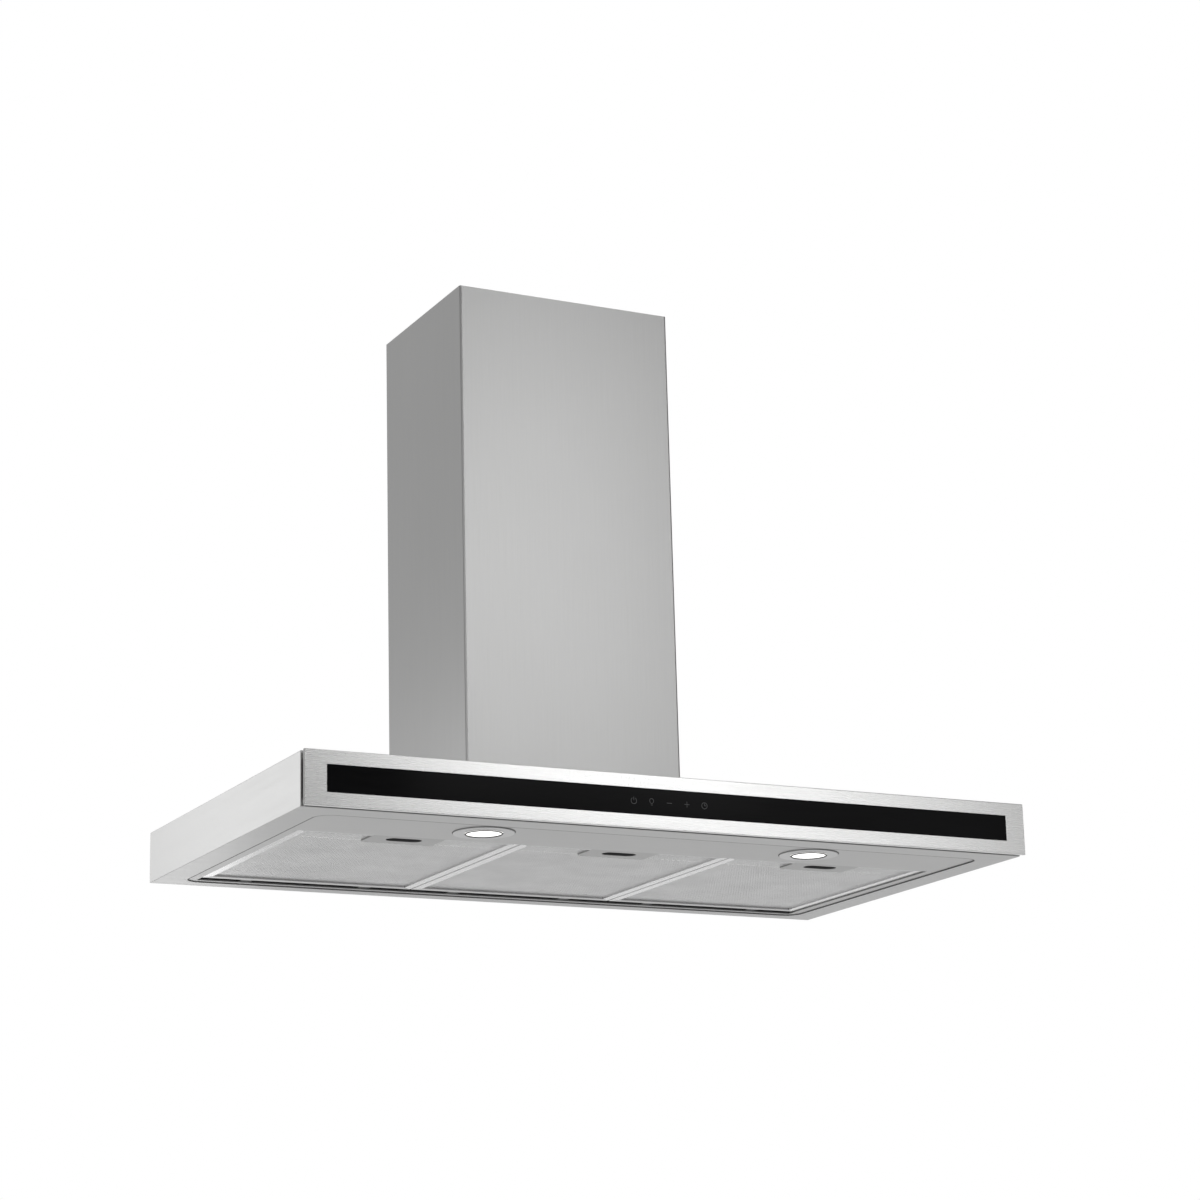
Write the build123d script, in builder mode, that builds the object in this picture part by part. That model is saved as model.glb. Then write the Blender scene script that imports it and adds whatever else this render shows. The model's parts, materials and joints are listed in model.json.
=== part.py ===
"""Wall mounted range hood: a flat canopy with three grease filters, two lamps and a touch strip,
under a telescoping chimney that hides the blower. All sizes are in millimetres.

Frame: x to the right, y towards the wall, z up. The wall is the plane y = 0, and the origin is the
middle of the four wall screws.
"""

import os
from math import cos, radians, sin

from build123d import *

os.makedirs("parts", exist_ok=True)

# Canopy
CANOPY_WIDTH = 898.0
CANOPY_DEPTH = 500.0
CANOPY_HEIGHT = 60.0
SHEET = 1.0
EDGE_ROUND = 0.8
SIDE_FLANGE = 33.0
FRONT_FLANGE = 43.0
REAR_FLANGE = 22.0
PANEL_CORNER = 20.0
PANEL_LAP = 10.0

# Wall screws
WALL_SCREW_RISE = 350.0
WALL_SCREW_HOLE = 9.0
WALL_SCREW_EDGE = 20.0
LOWER_SCREW_HEIGHT = 35.0
SCREW_ABOVE_CASING = 25.0
PLATE = 1.5
PLATE_ABOVE_SCREW = 25.0
PLATE_LIP = 12.0

# Fascia and touch strip
FASCIA_DEPTH = 3.5
SHADOW_GAP = 8.0
GLASS_END_MARGIN = 25.0
GLASS_EDGE_MARGIN = 15.0
GLASS_THICKNESS = 3.0
GLASS_PLAY = 0.3
GLASS_INSET = 0.3
GLASS_EDGE = 0.4
CARRIER_LIP = 3.0
CARRIER_FLOOR = 2.2
TOUCH_KEYS = 5
TOUCH_PITCH = 22.0
TOUCH_CENTRE = -20.0
TOUCH_PAD = 9.0
TOUCH_WINDOW_HEIGHT = 14.0
BOARD = 1.6
BOARD_MARGIN = 10.0
CONNECTOR_LENGTH = 24.0
CONNECTOR_HEIGHT = 8.0
CONNECTOR_DEPTH = 3.5
STUD = 4.0
STUD_PLAY = 0.1
STUD_REACH = 7.0
STUD_COLUMNS = 4
NUT_FLATS = 7.0
NUT_HEIGHT = 3.2
SPACER_WALL = 1.4

# Filters
SIDE_STRIP = 14.0
FILTER_START = 138.0
REAR_STRIP = 32.0
FILTER_GAP = 1.5
FILTER_REAR_GAP = 10.0
FILTER_HEIGHT = 10.0
FILTER_WALL = 1.0
FILTER_RAIL = 11.0
FILTER_HEM = 2.5
FILTER_CORNER = 2.0
COLLAR_RISE = 12.0
REAR_SILL = 1.5
TAB_WIDTH = 14.0
TAB_SPACING = 150.0
TAB_REACH = 6.0
TAB_THICKNESS = 1.5
MESH_PLAY = 0.3
MESH_THICKNESS = 3.0
MESH_FLAT = 3.0
MESH_SLOPE = 2.4

# Latches
LATCH_WIDTH = 86.0
LATCH_DEPTH = 46.0
LATCH_WALL = 1.2
LATCH_FLOOR = 1.2
LATCH_CORNER = 4.0
LATCH_PLAY = 0.2
SLIDE_PLAY = 0.3
SLIDER_WEB = 3.5
SLIDER_HEIGHT = 5.0
FINGER_SLOT_LENGTH = 42.0
FINGER_SLOT_WIDTH = 17.0
FINGER_SLOT_SETBACK = 23.0
TONGUE_WIDTH = 30.0
TONGUE_THICKNESS = 2.5
TONGUE_RISE = 3.0
TONGUE_PLAY = 0.5
TONGUE_REACH = 4.0
TONGUE_LEAD = 1.5
SPRING_SPAN = 56.0
SPRING_STRIP = 0.5
SPRING_HEIGHT = 4.0
SPRING_LIFT = 0.5
SPRING_PLAY = 0.3

# Lamps
LAMP_SPACING = 412.0
LAMP_INSET = 85.0
LAMP_FLANGE_RADIUS = 34.0
LAMP_FLANGE = 1.5
LAMP_FLANGE_ROUND = 0.7
LAMP_WINDOW_RADIUS = 21.0
LAMP_SLEEVE_RADIUS = 29.0
LAMP_SLEEVE_WALL = 2.0
LAMP_SLEEVE_HEIGHT = 15.0
LAMP_PLAY = 0.3
LENS_RIM = 2.5
LENS_FACE = 1.2
LENS_ROUND = 0.8
REFLECTOR_HEIGHT = 5.5
REFLECTOR_THROAT = 12.0
REFLECTOR_LIP = 0.8
LED_RADIUS = 8.0
LED_HEIGHT = 0.8
SINK_HEIGHT = 18.0
SINK_BASE = 4.0
SINK_CORE_RADIUS = 14.0
SINK_FINS = 12
SINK_SLOT = 4.0

# Chimney
CHIMNEY_WIDTH = 284.0
CHIMNEY_DEPTH = 230.0
CHIMNEY_HEIGHT = 655.0
CHIMNEY_BEND = 2.5
CHIMNEY_RETURN = 16.0
CHIMNEY_PLAY = 1.0
UPPER_RETURN = 12.0
UPPER_SHORTFALL = 5.0
VENT_COUNT = 6
VENT_LENGTH = 90.0
VENT_WIDTH = 6.0
VENT_PITCH = 14.0
VENT_DROP = 120.0
FOOT_HEIGHT = 25.0
FOOT_THICKNESS = 2.0
FOOT_LENGTH = 60.0
FOOT_REACH = 18.0
FOOT_FROM_WALL = 110.0
BRACKET_DROP = 50.0
BRACKET_HEIGHT = 30.0
BRACKET_STRIP = 1.5
BRACKET_STEP = 10.0
BRACKET_ARM = 60.0
BRACKET_ROOM = 3.0
BRACKET_SCREW_EDGE = 30.0
BRACKET_SCREW_HOLE = 6.0
CHIMNEY_SCREW = 4.0
CHIMNEY_SCREW_HEAD = 8.0
CHIMNEY_SCREW_RISE = 0.6
CHIMNEY_SCREW_LENGTH = 6.0

# Blower casing
CASING_SIDE_SPACE = 22.0
CASING_FRONT_SPACE = 15.0
CASING_FOOT = 10.0
AIR_EDGE = 14.0
AIR_CORNER = 12.0
COVER_RETURN = 10.0
COVER_PLAY = 0.2
SCREW = 3.8
SCREW_PLAY = 0.15
SCREW_HEAD = 7.0
SCREW_HEAD_HEIGHT = 2.0
SCREW_LENGTH = 8.0
COVER_SCREW_ROWS = 3
COVER_SCREW_END = 40.0

# Scroll, impeller and motor
SCROLL_WALL = 2.0
SCROLL_JOINT = 5.0
SCROLL_ROOM = 3.0
SCROLL_STEP = 7.0
SCROLL_TONGUE_ANGLE = 20.0
SCROLL_NECK = 19.0
SCROLL_SIDE_SPACE = 38.0
IMPELLER_ROOM = 7.0
IMPELLER_END_ROOM = 5.0
INLET_ROOM = 1.0
INLET_LIP = 3.0
INLET_WALL = 2.0
BLADES = 36
BLADE_DEPTH = 13.0
BLADE_THICKNESS = 1.0
BLADE_BOW = 2.0
BLADE_TILT = 30.0
RING_HEIGHT = 3.0
DISC = 3.0
HUB_RADIUS = 12.0
HUB_LENGTH = 28.0
SHAFT_RADIUS = 5.0
SHAFT_PLAY = 0.06
SHAFT_COLLAR_RADIUS = 8.0
SHAFT_COLLAR = 3.0
SHAFT_END = 6.0
MOTOR_AIR = 18.0
MOTOR_LENGTH = 58.0
MOTOR_OVERHANG = 14.0
MOTOR_END_ROUND = 6.0
MOTOR_BOSS_RADIUS = 14.0
MOTOR_BOSS = 3.0
MOTOR_FLANGE = 6.0
MOTOR_FLANGE_THICKNESS = 3.0
MOTOR_WALL = 5.0
MOTOR_PLAY = 0.3
SPIDER = 3.0
SPIDER_ARMS = 3
SPIDER_ARM = 10.0
SPIDER_RING = 9.0
SPIDER_RING_GAP = 5.0

# Outlet
COLLAR_RADIUS = 74.5
COLLAR_WALL = 2.0
COLLAR_HEIGHT = 45.0
COLLAR_FLANGE = 13.0
COLLAR_FLANGE_THICKNESS = 1.5
COLLAR_SCREWS = 4
ADAPTER_WALL = 2.0
STOP_HEIGHT = 10.0
STOP_LEDGE = 5.0
STOP_THICKNESS = 1.5
FLAP = 1.2
FLAP_PLAY = 1.5
FLAP_PIN_RADIUS = 1.5
FLAP_PIN_PLAY = 0.06
FLAP_PIN_INSET = 0.3
KNUCKLE_RADIUS = 3.0
KNUCKLE_ROOM = 0.6
KNUCKLES = 4
KNUCKLE_GAP = 2.0

# Electrics
CAPACITOR_RADIUS = 14.0
CAPACITOR_HEIGHT = 60.0
CAPACITOR_ROUND = 2.0
CAPACITOR_STUD_RADIUS = 4.0
CAPACITOR_STUD = 9.0
CAPACITOR_NUT_FLATS = 13.0
CAPACITOR_NUT = 5.0
CAPACITOR_INSET = 20.0
CAPACITOR_FROM_WALL = 36.0
GLAND_FLATS = 22.0
GLAND_BASE = 8.0
GLAND_CAP_RADIUS = 9.5
GLAND_HEIGHT = 22.0
GLAND_BORE_RADIUS = 4.0
GLAND_ROUND = 3.0
GLAND_INSET = 20.0
GLAND_FROM_FRONT = 24.0
BOX_LENGTH = 180.0
BOX_DEPTH = 110.0
BOX_HEIGHT = 34.0
BOX_WALL = 2.0
BOX_CORNER = 4.0
BOX_FROM_SIDE = 209.0
BOX_FROM_WALL = 170.0
BOX_POST_RADIUS = 4.0
BOX_POST = 6.0
BOX_POST_INSET = 10.0
BOX_LID_LIP = 3.0
BOX_LID_PLAY = 0.3
BOX_BOARD_PLAY = 1.0
TRANSFORMER_LENGTH = 44.0
TRANSFORMER_WIDTH = 36.0
TRANSFORMER_HEIGHT = 15.0
RELAYS = 4
RELAY_LENGTH = 19.0
RELAY_WIDTH = 15.0
RELAY_HEIGHT = 12.0
RELAY_PITCH = 21.0

# Levels and faces that several pieces share
UNDERSIDE = -(LOWER_SCREW_HEIGHT + WALL_SCREW_RISE / 2)
CANOPY_TOP = UNDERSIDE + CANOPY_HEIGHT
CANOPY_MIDDLE = UNDERSIDE + CANOPY_HEIGHT / 2
FRONT = -CANOPY_DEPTH
FASCIA_BACK = FRONT + FASCIA_DEPTH
SHELL_FRONT = FASCIA_BACK + SHADOW_GAP
PANEL_BOTTOM = UNDERSIDE + SHEET
PANEL_FRONT = FRONT + FRONT_FLANGE
PANEL_BACK = -REAR_FLANGE
PANEL_WIDTH = CANOPY_WIDTH - 2 * SIDE_FLANGE
PANEL_DEPTH = PANEL_BACK - PANEL_FRONT
PANEL_MIDDLE = (PANEL_FRONT + PANEL_BACK) / 2

OPENING_WIDTH = PANEL_WIDTH - 2 * SIDE_STRIP
OPENING_FRONT = FRONT + FILTER_START
OPENING_BACK = -REAR_STRIP
OPENING_DEPTH = OPENING_BACK - OPENING_FRONT
OPENING_MIDDLE = (OPENING_FRONT + OPENING_BACK) / 2
FILTER_WIDTH = (OPENING_WIDTH - 4 * FILTER_GAP) / 3
FILTER_PITCH = FILTER_WIDTH + FILTER_GAP
FILTER_PLACES = {"left": -FILTER_PITCH, "centre": 0.0, "right": FILTER_PITCH}
FILTER_FRONT = OPENING_FRONT + FILTER_GAP
FILTER_BACK = OPENING_BACK - FILTER_REAR_GAP
FILTER_LENGTH = FILTER_BACK - FILTER_FRONT
FILTER_MIDDLE = (FILTER_FRONT + FILTER_BACK) / 2
FILTER_BOTTOM = PANEL_BOTTOM + REAR_SILL
TAB_LENGTH = FILTER_REAR_GAP + SHEET + TAB_REACH
FILTER_LIP_TOP = FILTER_BOTTOM + FILTER_HEIGHT - FILTER_WALL

LATCH_FRONT = FILTER_FRONT + FILTER_WALL
LATCH_BACK = LATCH_FRONT + LATCH_DEPTH
LATCH_MIDDLE = (LATCH_FRONT + LATCH_BACK) / 2
SLIDER_BOTTOM = FILTER_BOTTOM + LATCH_FLOOR
SLIDER_FRONT = LATCH_FRONT + LATCH_WALL + SLIDE_PLAY
FINGER_SLOT_MIDDLE = LATCH_FRONT + FINGER_SLOT_SETBACK
SLIDER_BACK = FINGER_SLOT_MIDDLE + FINGER_SLOT_WIDTH / 2 + SLIDER_WEB
SLIDER_MIDDLE = (SLIDER_FRONT + SLIDER_BACK) / 2
SLIDER_WIDTH = LATCH_WIDTH - 2 * LATCH_WALL - 2 * SLIDE_PLAY
TONGUE_BOTTOM = FILTER_BOTTOM + TONGUE_RISE
TONGUE_MIDDLE = TONGUE_BOTTOM + TONGUE_THICKNESS / 2
TONGUE_TIP = OPENING_FRONT - SHEET - TONGUE_REACH
TONGUE_SLOT_WIDTH = TONGUE_WIDTH + 2 * TONGUE_PLAY
TONGUE_SLOT_HEIGHT = TONGUE_THICKNESS + 2 * TONGUE_PLAY

LAMP_X = LAMP_SPACING / 2
LAMP_Y = FRONT + LAMP_INSET
LAMP_BORE = LAMP_SLEEVE_RADIUS - LAMP_SLEEVE_WALL
LAMP_INNER = LAMP_BORE - LAMP_PLAY
LAMP_PLACES = {"left": -LAMP_X, "right": LAMP_X}
REFLECTOR_BOTTOM = PANEL_BOTTOM + LENS_RIM
LAMP_BOARD_BOTTOM = REFLECTOR_BOTTOM + REFLECTOR_HEIGHT
SINK_BOTTOM = LAMP_BOARD_BOTTOM + BOARD
SINK_SLOT_END = LAMP_SLEEVE_RADIUS + SINK_SLOT
SLEEVE_TOP = PANEL_BOTTOM + LAMP_SLEEVE_HEIGHT

GLASS_WIDTH = CANOPY_WIDTH - 2 * GLASS_END_MARGIN
GLASS_HEIGHT = CANOPY_HEIGHT - 2 * GLASS_EDGE_MARGIN
GLASS_FRONT = FRONT + GLASS_INSET
GLASS_BACK = GLASS_FRONT + GLASS_THICKNESS
CARRIER_BACK = GLASS_BACK + CARRIER_FLOOR
STUD_EDGE = (SHEET + GLASS_EDGE_MARGIN - CARRIER_LIP) / 2
STUD_SPAN = CANOPY_WIDTH - 2 * STUD_EDGE
STUD_RISE = CANOPY_HEIGHT - 2 * STUD_EDGE
SPACER_RADIUS = STUD / 2 + STUD_PLAY + SPACER_WALL
STUD_BACK = SHELL_FRONT + SHEET + STUD_REACH
TOUCH_SPAN = (TOUCH_KEYS - 1) * TOUCH_PITCH + TOUCH_PAD

CHIMNEY_TOP = CANOPY_TOP + CHIMNEY_HEIGHT
UPPER_WIDTH = CHIMNEY_WIDTH - 2 * SHEET - 2 * CHIMNEY_PLAY
UPPER_FRONT = -CHIMNEY_DEPTH + SHEET + CHIMNEY_PLAY
UPPER_REAR = -SHEET - CHIMNEY_PLAY
UPPER_BOTTOM = CANOPY_TOP + FOOT_HEIGHT
UPPER_TOP = CHIMNEY_TOP - UPPER_SHORTFALL
UPPER_INSIDE = UPPER_WIDTH / 2 - SHEET
BRACKET_MIDDLE = UPPER_TOP - BRACKET_DROP
BRACKET_HALF = UPPER_INSIDE - UPPER_RETURN - BRACKET_ROOM
BRACKET_SCREW_SPACING = 2 * (BRACKET_HALF - BRACKET_SCREW_EDGE)
BRACKET_SHOULDER = UPPER_REAR - SHEET - BRACKET_STEP
CHIMNEY_SCREW_Y = BRACKET_SHOULDER - BRACKET_ARM / 2

CASING_HALF = CHIMNEY_WIDTH / 2 - CASING_SIDE_SPACE
CASING_TOP = WALL_SCREW_RISE / 2 - SCREW_ABOVE_CASING
CASING_MIDDLE = (CANOPY_TOP + CASING_TOP) / 2
CASING_HEIGHT = CASING_TOP - CANOPY_TOP
CASING_FRONT = -CHIMNEY_DEPTH + CASING_FRONT_SPACE
CASING_DEPTH = -PLATE - CASING_FRONT
CASING_CENTRE = (CASING_FRONT - PLATE) / 2
WALL_SCREW_SPACING = 2 * (CASING_HALF - WALL_SCREW_EDGE)
COVER_HALF = CASING_HALF - SHEET - COVER_PLAY
COVER_SCREW_PITCH = (CASING_HEIGHT - 2 * COVER_SCREW_END) / (COVER_SCREW_ROWS - 1)
COVER_SCREW_Y = CASING_FRONT + COVER_RETURN / 2

SCROLL_HALF = CASING_HALF - SCROLL_SIDE_SPACE
SCROLL_REACH = CASING_DEPTH - 2 * (SCROLL_ROOM + SCROLL_JOINT + SCROLL_WALL)
SCROLL_START = (SCROLL_REACH - 5 * SCROLL_STEP) / 2
WHEEL_Y = -PLATE - SCROLL_ROOM - SCROLL_JOINT - SCROLL_WALL - SCROLL_START - SCROLL_STEP
WHEEL_Z = CANOPY_TOP + SCROLL_ROOM + SCROLL_JOINT + SCROLL_WALL + SCROLL_START + 3 * SCROLL_STEP
NECK_TOP = WHEEL_Z + SCROLL_START + SCROLL_NECK
NECK_FRONT = WHEEL_Y - SCROLL_STEP - (SCROLL_START + 3 * SCROLL_STEP)
TONGUE_Y = WHEEL_Y - SCROLL_START * sin(radians(SCROLL_TONGUE_ANGLE))
TONGUE_Z = WHEEL_Z + SCROLL_START * cos(radians(SCROLL_TONGUE_ANGLE))
NECK_MIDDLE = (NECK_FRONT + TONGUE_Y) / 2
NECK_DEPTH = TONGUE_Y - NECK_FRONT
IMPELLER_RADIUS = SCROLL_START - IMPELLER_ROOM
IMPELLER_HALF = SCROLL_HALF - SCROLL_WALL - IMPELLER_END_ROOM
BLADE_INNER = IMPELLER_RADIUS - BLADE_DEPTH
INLET_RADIUS = BLADE_INNER + INLET_ROOM
MOTOR_RADIUS = BLADE_INNER - MOTOR_AIR
MOTOR_BACK = -(SCROLL_HALF + MOTOR_OVERHANG)
MOTOR_FRONT = MOTOR_BACK + MOTOR_LENGTH
SPIDER_INNER = INLET_RADIUS + SPIDER_RING_GAP
SPIDER_SCREW_RADIUS = SPIDER_INNER + SPIDER_RING / 2

COLLAR_INNER = COLLAR_RADIUS - COLLAR_WALL
COLLAR_FLANGE_RADIUS = COLLAR_RADIUS + COLLAR_FLANGE
COLLAR_SCREW_RADIUS = COLLAR_RADIUS + COLLAR_FLANGE / 2
COLLAR_CENTRE = (0, CASING_CENTRE)
ADAPTER_TOP = CASING_TOP - SHEET - ADAPTER_WALL
STOP_TOP = CASING_TOP + STOP_HEIGHT
STOP_RADIUS = COLLAR_INNER - STOP_LEDGE
FLAP_RADIUS = COLLAR_INNER - FLAP_PLAY
FLAP_AXIS_Z = STOP_TOP + FLAP / 2
FLAP_START = KNUCKLE_RADIUS + KNUCKLE_ROOM
KNUCKLE_PITCH = 2 * (STOP_RADIUS - KNUCKLE_GAP) / KNUCKLES
KNUCKLE_LENGTH = KNUCKLE_PITCH - KNUCKLE_GAP
BOX_X = CANOPY_WIDTH / 2 - BOX_FROM_SIDE
BOX_TOP = CANOPY_TOP - SHEET
BOX_Y = -BOX_FROM_WALL
BOX_BOTTOM = BOX_TOP - BOX_HEIGHT
POWER_BOARD_TOP = BOX_TOP - BOX_WALL - BOX_POST

# Canopy shell: folded box, open below inside the flanges
with BuildPart() as canopy_shell:
    with BuildSketch(Plane.XY.offset(UNDERSIDE)):
        with Locations((0, SHELL_FRONT / 2)):
            Rectangle(CANOPY_WIDTH, -SHELL_FRONT)
    extrude(amount=CANOPY_HEIGHT)
    fillet(canopy_shell.edges(), EDGE_ROUND)
    with BuildSketch(Plane.XY.offset(PANEL_BOTTOM)):
        with Locations((0, SHELL_FRONT / 2)):
            Rectangle(CANOPY_WIDTH - 2 * SHEET, -SHELL_FRONT - 2 * SHEET)
    extrude(amount=CANOPY_HEIGHT - 2 * SHEET, mode=Mode.SUBTRACT)
    with BuildSketch(Plane.XY.offset(UNDERSIDE)):
        with Locations((0, PANEL_MIDDLE)):
            RectangleRounded(PANEL_WIDTH, PANEL_DEPTH, PANEL_CORNER)
    extrude(amount=SHEET, mode=Mode.SUBTRACT)
    with BuildSketch(Plane.XY.offset(CANOPY_TOP)):
        with Locations((0, CASING_CENTRE)):
            RectangleRounded(2 * (CASING_HALF - AIR_EDGE), CASING_DEPTH - 2 * AIR_EDGE, AIR_CORNER)
    extrude(amount=-SHEET, mode=Mode.SUBTRACT)
    with BuildSketch(Plane.XZ):
        with Locations((0, -WALL_SCREW_RISE / 2)):
            with GridLocations(WALL_SCREW_SPACING, 1, 2, 1):
                Circle(WALL_SCREW_HOLE / 2)
    extrude(amount=SHEET, mode=Mode.SUBTRACT)
    with BuildSketch(Plane.XZ.offset(-SHELL_FRONT)):
        with Locations((0, CANOPY_MIDDLE)):
            with GridLocations(STUD_SPAN / (STUD_COLUMNS - 1), STUD_RISE, STUD_COLUMNS, 2):
                Circle(STUD / 2 + STUD_PLAY)
        with Locations((TOUCH_CENTRE, CANOPY_MIDDLE)):
            SlotOverall(CONNECTOR_LENGTH, CONNECTOR_HEIGHT)
    extrude(amount=-SHEET, mode=Mode.SUBTRACT)
canopy_shell.part.label = "canopy_shell"
export_step(canopy_shell.part, "parts/canopy_shell.step")

# Front fascia: tray with a window for the glass
with BuildPart() as front_fascia:
    with BuildSketch(Plane.XZ.offset(-FASCIA_BACK)):
        with Locations((0, CANOPY_MIDDLE)):
            Rectangle(CANOPY_WIDTH, CANOPY_HEIGHT)
    extrude(amount=FASCIA_DEPTH)
    fillet(front_fascia.edges().filter_by(Axis.Y), EDGE_ROUND)
    fillet(front_fascia.faces().sort_by(Axis.Y)[0].edges(), EDGE_ROUND)
    with BuildSketch(Plane.XZ.offset(-FASCIA_BACK)):
        with Locations((0, CANOPY_MIDDLE)):
            Rectangle(CANOPY_WIDTH - 2 * SHEET, CANOPY_HEIGHT - 2 * SHEET)
    extrude(amount=FASCIA_DEPTH - SHEET, mode=Mode.SUBTRACT)
    with BuildSketch(Plane.XZ.offset(-FRONT)):
        with Locations((0, CANOPY_MIDDLE)):
            Rectangle(GLASS_WIDTH, GLASS_HEIGHT)
    extrude(amount=-SHEET, mode=Mode.SUBTRACT)
front_fascia.part.label = "front_fascia"
export_step(front_fascia.part, "parts/front_fascia.step")

# Control glass, just inside the face of the fascia
with BuildPart() as control_glass:
    with BuildSketch(Plane.XZ.offset(-GLASS_BACK)):
        with Locations((0, CANOPY_MIDDLE)):
            Rectangle(GLASS_WIDTH - 2 * GLASS_PLAY, GLASS_HEIGHT - 2 * GLASS_PLAY)
    extrude(amount=GLASS_THICKNESS)
    chamfer(control_glass.faces().sort_by(Axis.Y)[0].edges(), GLASS_EDGE)
control_glass.part.label = "control_glass"
export_step(control_glass.part, "parts/control_glass.step")

# Glass carrier: frame round the glass with a floor behind it, open behind the touch keys
with BuildPart() as glass_carrier:
    with BuildSketch(Plane.XZ.offset(-CARRIER_BACK)):
        with Locations((0, CANOPY_MIDDLE)):
            Rectangle(GLASS_WIDTH + 2 * CARRIER_LIP, GLASS_HEIGHT + 2 * CARRIER_LIP)
    extrude(amount=CARRIER_BACK - FRONT - SHEET)
    with BuildSketch(Plane.XZ.offset(-GLASS_BACK)):
        with Locations((0, CANOPY_MIDDLE)):
            Rectangle(GLASS_WIDTH, GLASS_HEIGHT)
    extrude(amount=GLASS_BACK - FRONT - SHEET, mode=Mode.SUBTRACT)
    with BuildSketch(Plane.XZ.offset(-CARRIER_BACK)):
        with Locations((TOUCH_CENTRE, CANOPY_MIDDLE)):
            Rectangle(TOUCH_SPAN + TOUCH_PAD, TOUCH_WINDOW_HEIGHT)
    extrude(amount=CARRIER_FLOOR, mode=Mode.SUBTRACT)
glass_carrier.part.label = "glass_carrier"
export_step(glass_carrier.part, "parts/glass_carrier.step")

# Touch pads between the board and the glass
with BuildPart() as touch_pads:
    with BuildSketch(Plane.XZ.offset(-CARRIER_BACK)):
        with Locations((TOUCH_CENTRE, CANOPY_MIDDLE)):
            with GridLocations(TOUCH_PITCH, 1, TOUCH_KEYS, 1):
                Circle(TOUCH_PAD / 2)
    extrude(amount=CARRIER_FLOOR)
touch_pads.part.label = "touch_pads"
export_step(touch_pads.part, "parts/touch_pads.step")

# Touch board on the back of the carrier, with its cable connector
with BuildPart() as touch_board:
    with BuildSketch(Plane.XZ.offset(-CARRIER_BACK)):
        with Locations((TOUCH_CENTRE, CANOPY_MIDDLE)):
            Rectangle(TOUCH_SPAN + TOUCH_PAD + 2 * BOARD_MARGIN, GLASS_HEIGHT)
    extrude(amount=-BOARD)
    with BuildSketch(Plane.XZ.offset(-CARRIER_BACK - BOARD)):
        with Locations((TOUCH_CENTRE, CANOPY_MIDDLE)):
            Rectangle(CONNECTOR_LENGTH - CONNECTOR_HEIGHT, CONNECTOR_HEIGHT)
    extrude(amount=-CONNECTOR_DEPTH)
touch_board.part.label = "touch_board"
export_step(touch_board.part, "parts/touch_board.step")

# Spacers that keep the shadow gap, one round each stud
with BuildPart() as fascia_spacers:
    with BuildSketch(Plane.XZ.offset(-SHELL_FRONT)):
        with Locations((0, CANOPY_MIDDLE)):
            with GridLocations(STUD_SPAN / (STUD_COLUMNS - 1), STUD_RISE, STUD_COLUMNS, 2):
                Circle(SPACER_RADIUS)
                Circle(STUD / 2 + STUD_PLAY, mode=Mode.SUBTRACT)
    extrude(amount=SHELL_FRONT - FRONT - SHEET)
fascia_spacers.part.label = "fascia_spacers"
export_step(fascia_spacers.part, "parts/fascia_spacers.step")

# Welded studs with their nuts inside the shell
with BuildPart() as fascia_studs:
    with BuildSketch(Plane.XZ.offset(-STUD_BACK)):
        with Locations((0, CANOPY_MIDDLE)):
            with GridLocations(STUD_SPAN / (STUD_COLUMNS - 1), STUD_RISE, STUD_COLUMNS, 2):
                Circle(STUD / 2)
    extrude(amount=STUD_BACK - FRONT - SHEET)
    with BuildSketch(Plane.XZ.offset(-SHELL_FRONT - SHEET)):
        with Locations((0, CANOPY_MIDDLE)):
            with GridLocations(STUD_SPAN / (STUD_COLUMNS - 1), STUD_RISE, STUD_COLUMNS, 2):
                RegularPolygon(NUT_FLATS / 2, 6, major_radius=False)
    extrude(amount=-NUT_HEIGHT)
fascia_studs.part.label = "fascia_studs"
export_step(fascia_studs.part, "parts/fascia_studs.step")

# Inner panel: lies on the flanges, with lamp holes and a collar round the filters
with BuildPart() as inner_panel:
    with BuildSketch(Plane.XY.offset(PANEL_BOTTOM)):
        with Locations((0, PANEL_MIDDLE)):
            RectangleRounded(PANEL_WIDTH + 2 * PANEL_LAP, PANEL_DEPTH + 2 * PANEL_LAP, PANEL_CORNER)
        with Locations((-LAMP_X, LAMP_Y), (LAMP_X, LAMP_Y)):
            Circle(LAMP_SLEEVE_RADIUS + LAMP_PLAY, mode=Mode.SUBTRACT)
    extrude(amount=SHEET)
    with BuildSketch(Plane.XY.offset(PANEL_BOTTOM)):
        with Locations((0, OPENING_MIDDLE)):
            Rectangle(OPENING_WIDTH + 2 * SHEET, OPENING_DEPTH + 2 * SHEET)
    extrude(amount=COLLAR_RISE)
    with BuildSketch(Plane.XY.offset(PANEL_BOTTOM)):
        with Locations((0, OPENING_MIDDLE)):
            Rectangle(OPENING_WIDTH, OPENING_DEPTH)
    extrude(amount=COLLAR_RISE, mode=Mode.SUBTRACT)
    with BuildSketch(Plane.XY.offset(FILTER_BOTTOM)):
        with Locations((0, OPENING_BACK + SHEET / 2)):
            Rectangle(OPENING_WIDTH + 2 * SHEET, SHEET)
    extrude(amount=COLLAR_RISE - REAR_SILL, mode=Mode.SUBTRACT)
    with BuildSketch(Plane.XZ.offset(-OPENING_FRONT)):
        with Locations((0, TONGUE_MIDDLE)):
            with GridLocations(FILTER_PITCH, 1, 3, 1):
                Rectangle(TONGUE_SLOT_WIDTH, TONGUE_SLOT_HEIGHT)
    extrude(amount=SHEET, mode=Mode.SUBTRACT)
inner_panel.part.label = "inner_panel"
export_step(inner_panel.part, "parts/inner_panel.step")

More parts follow.
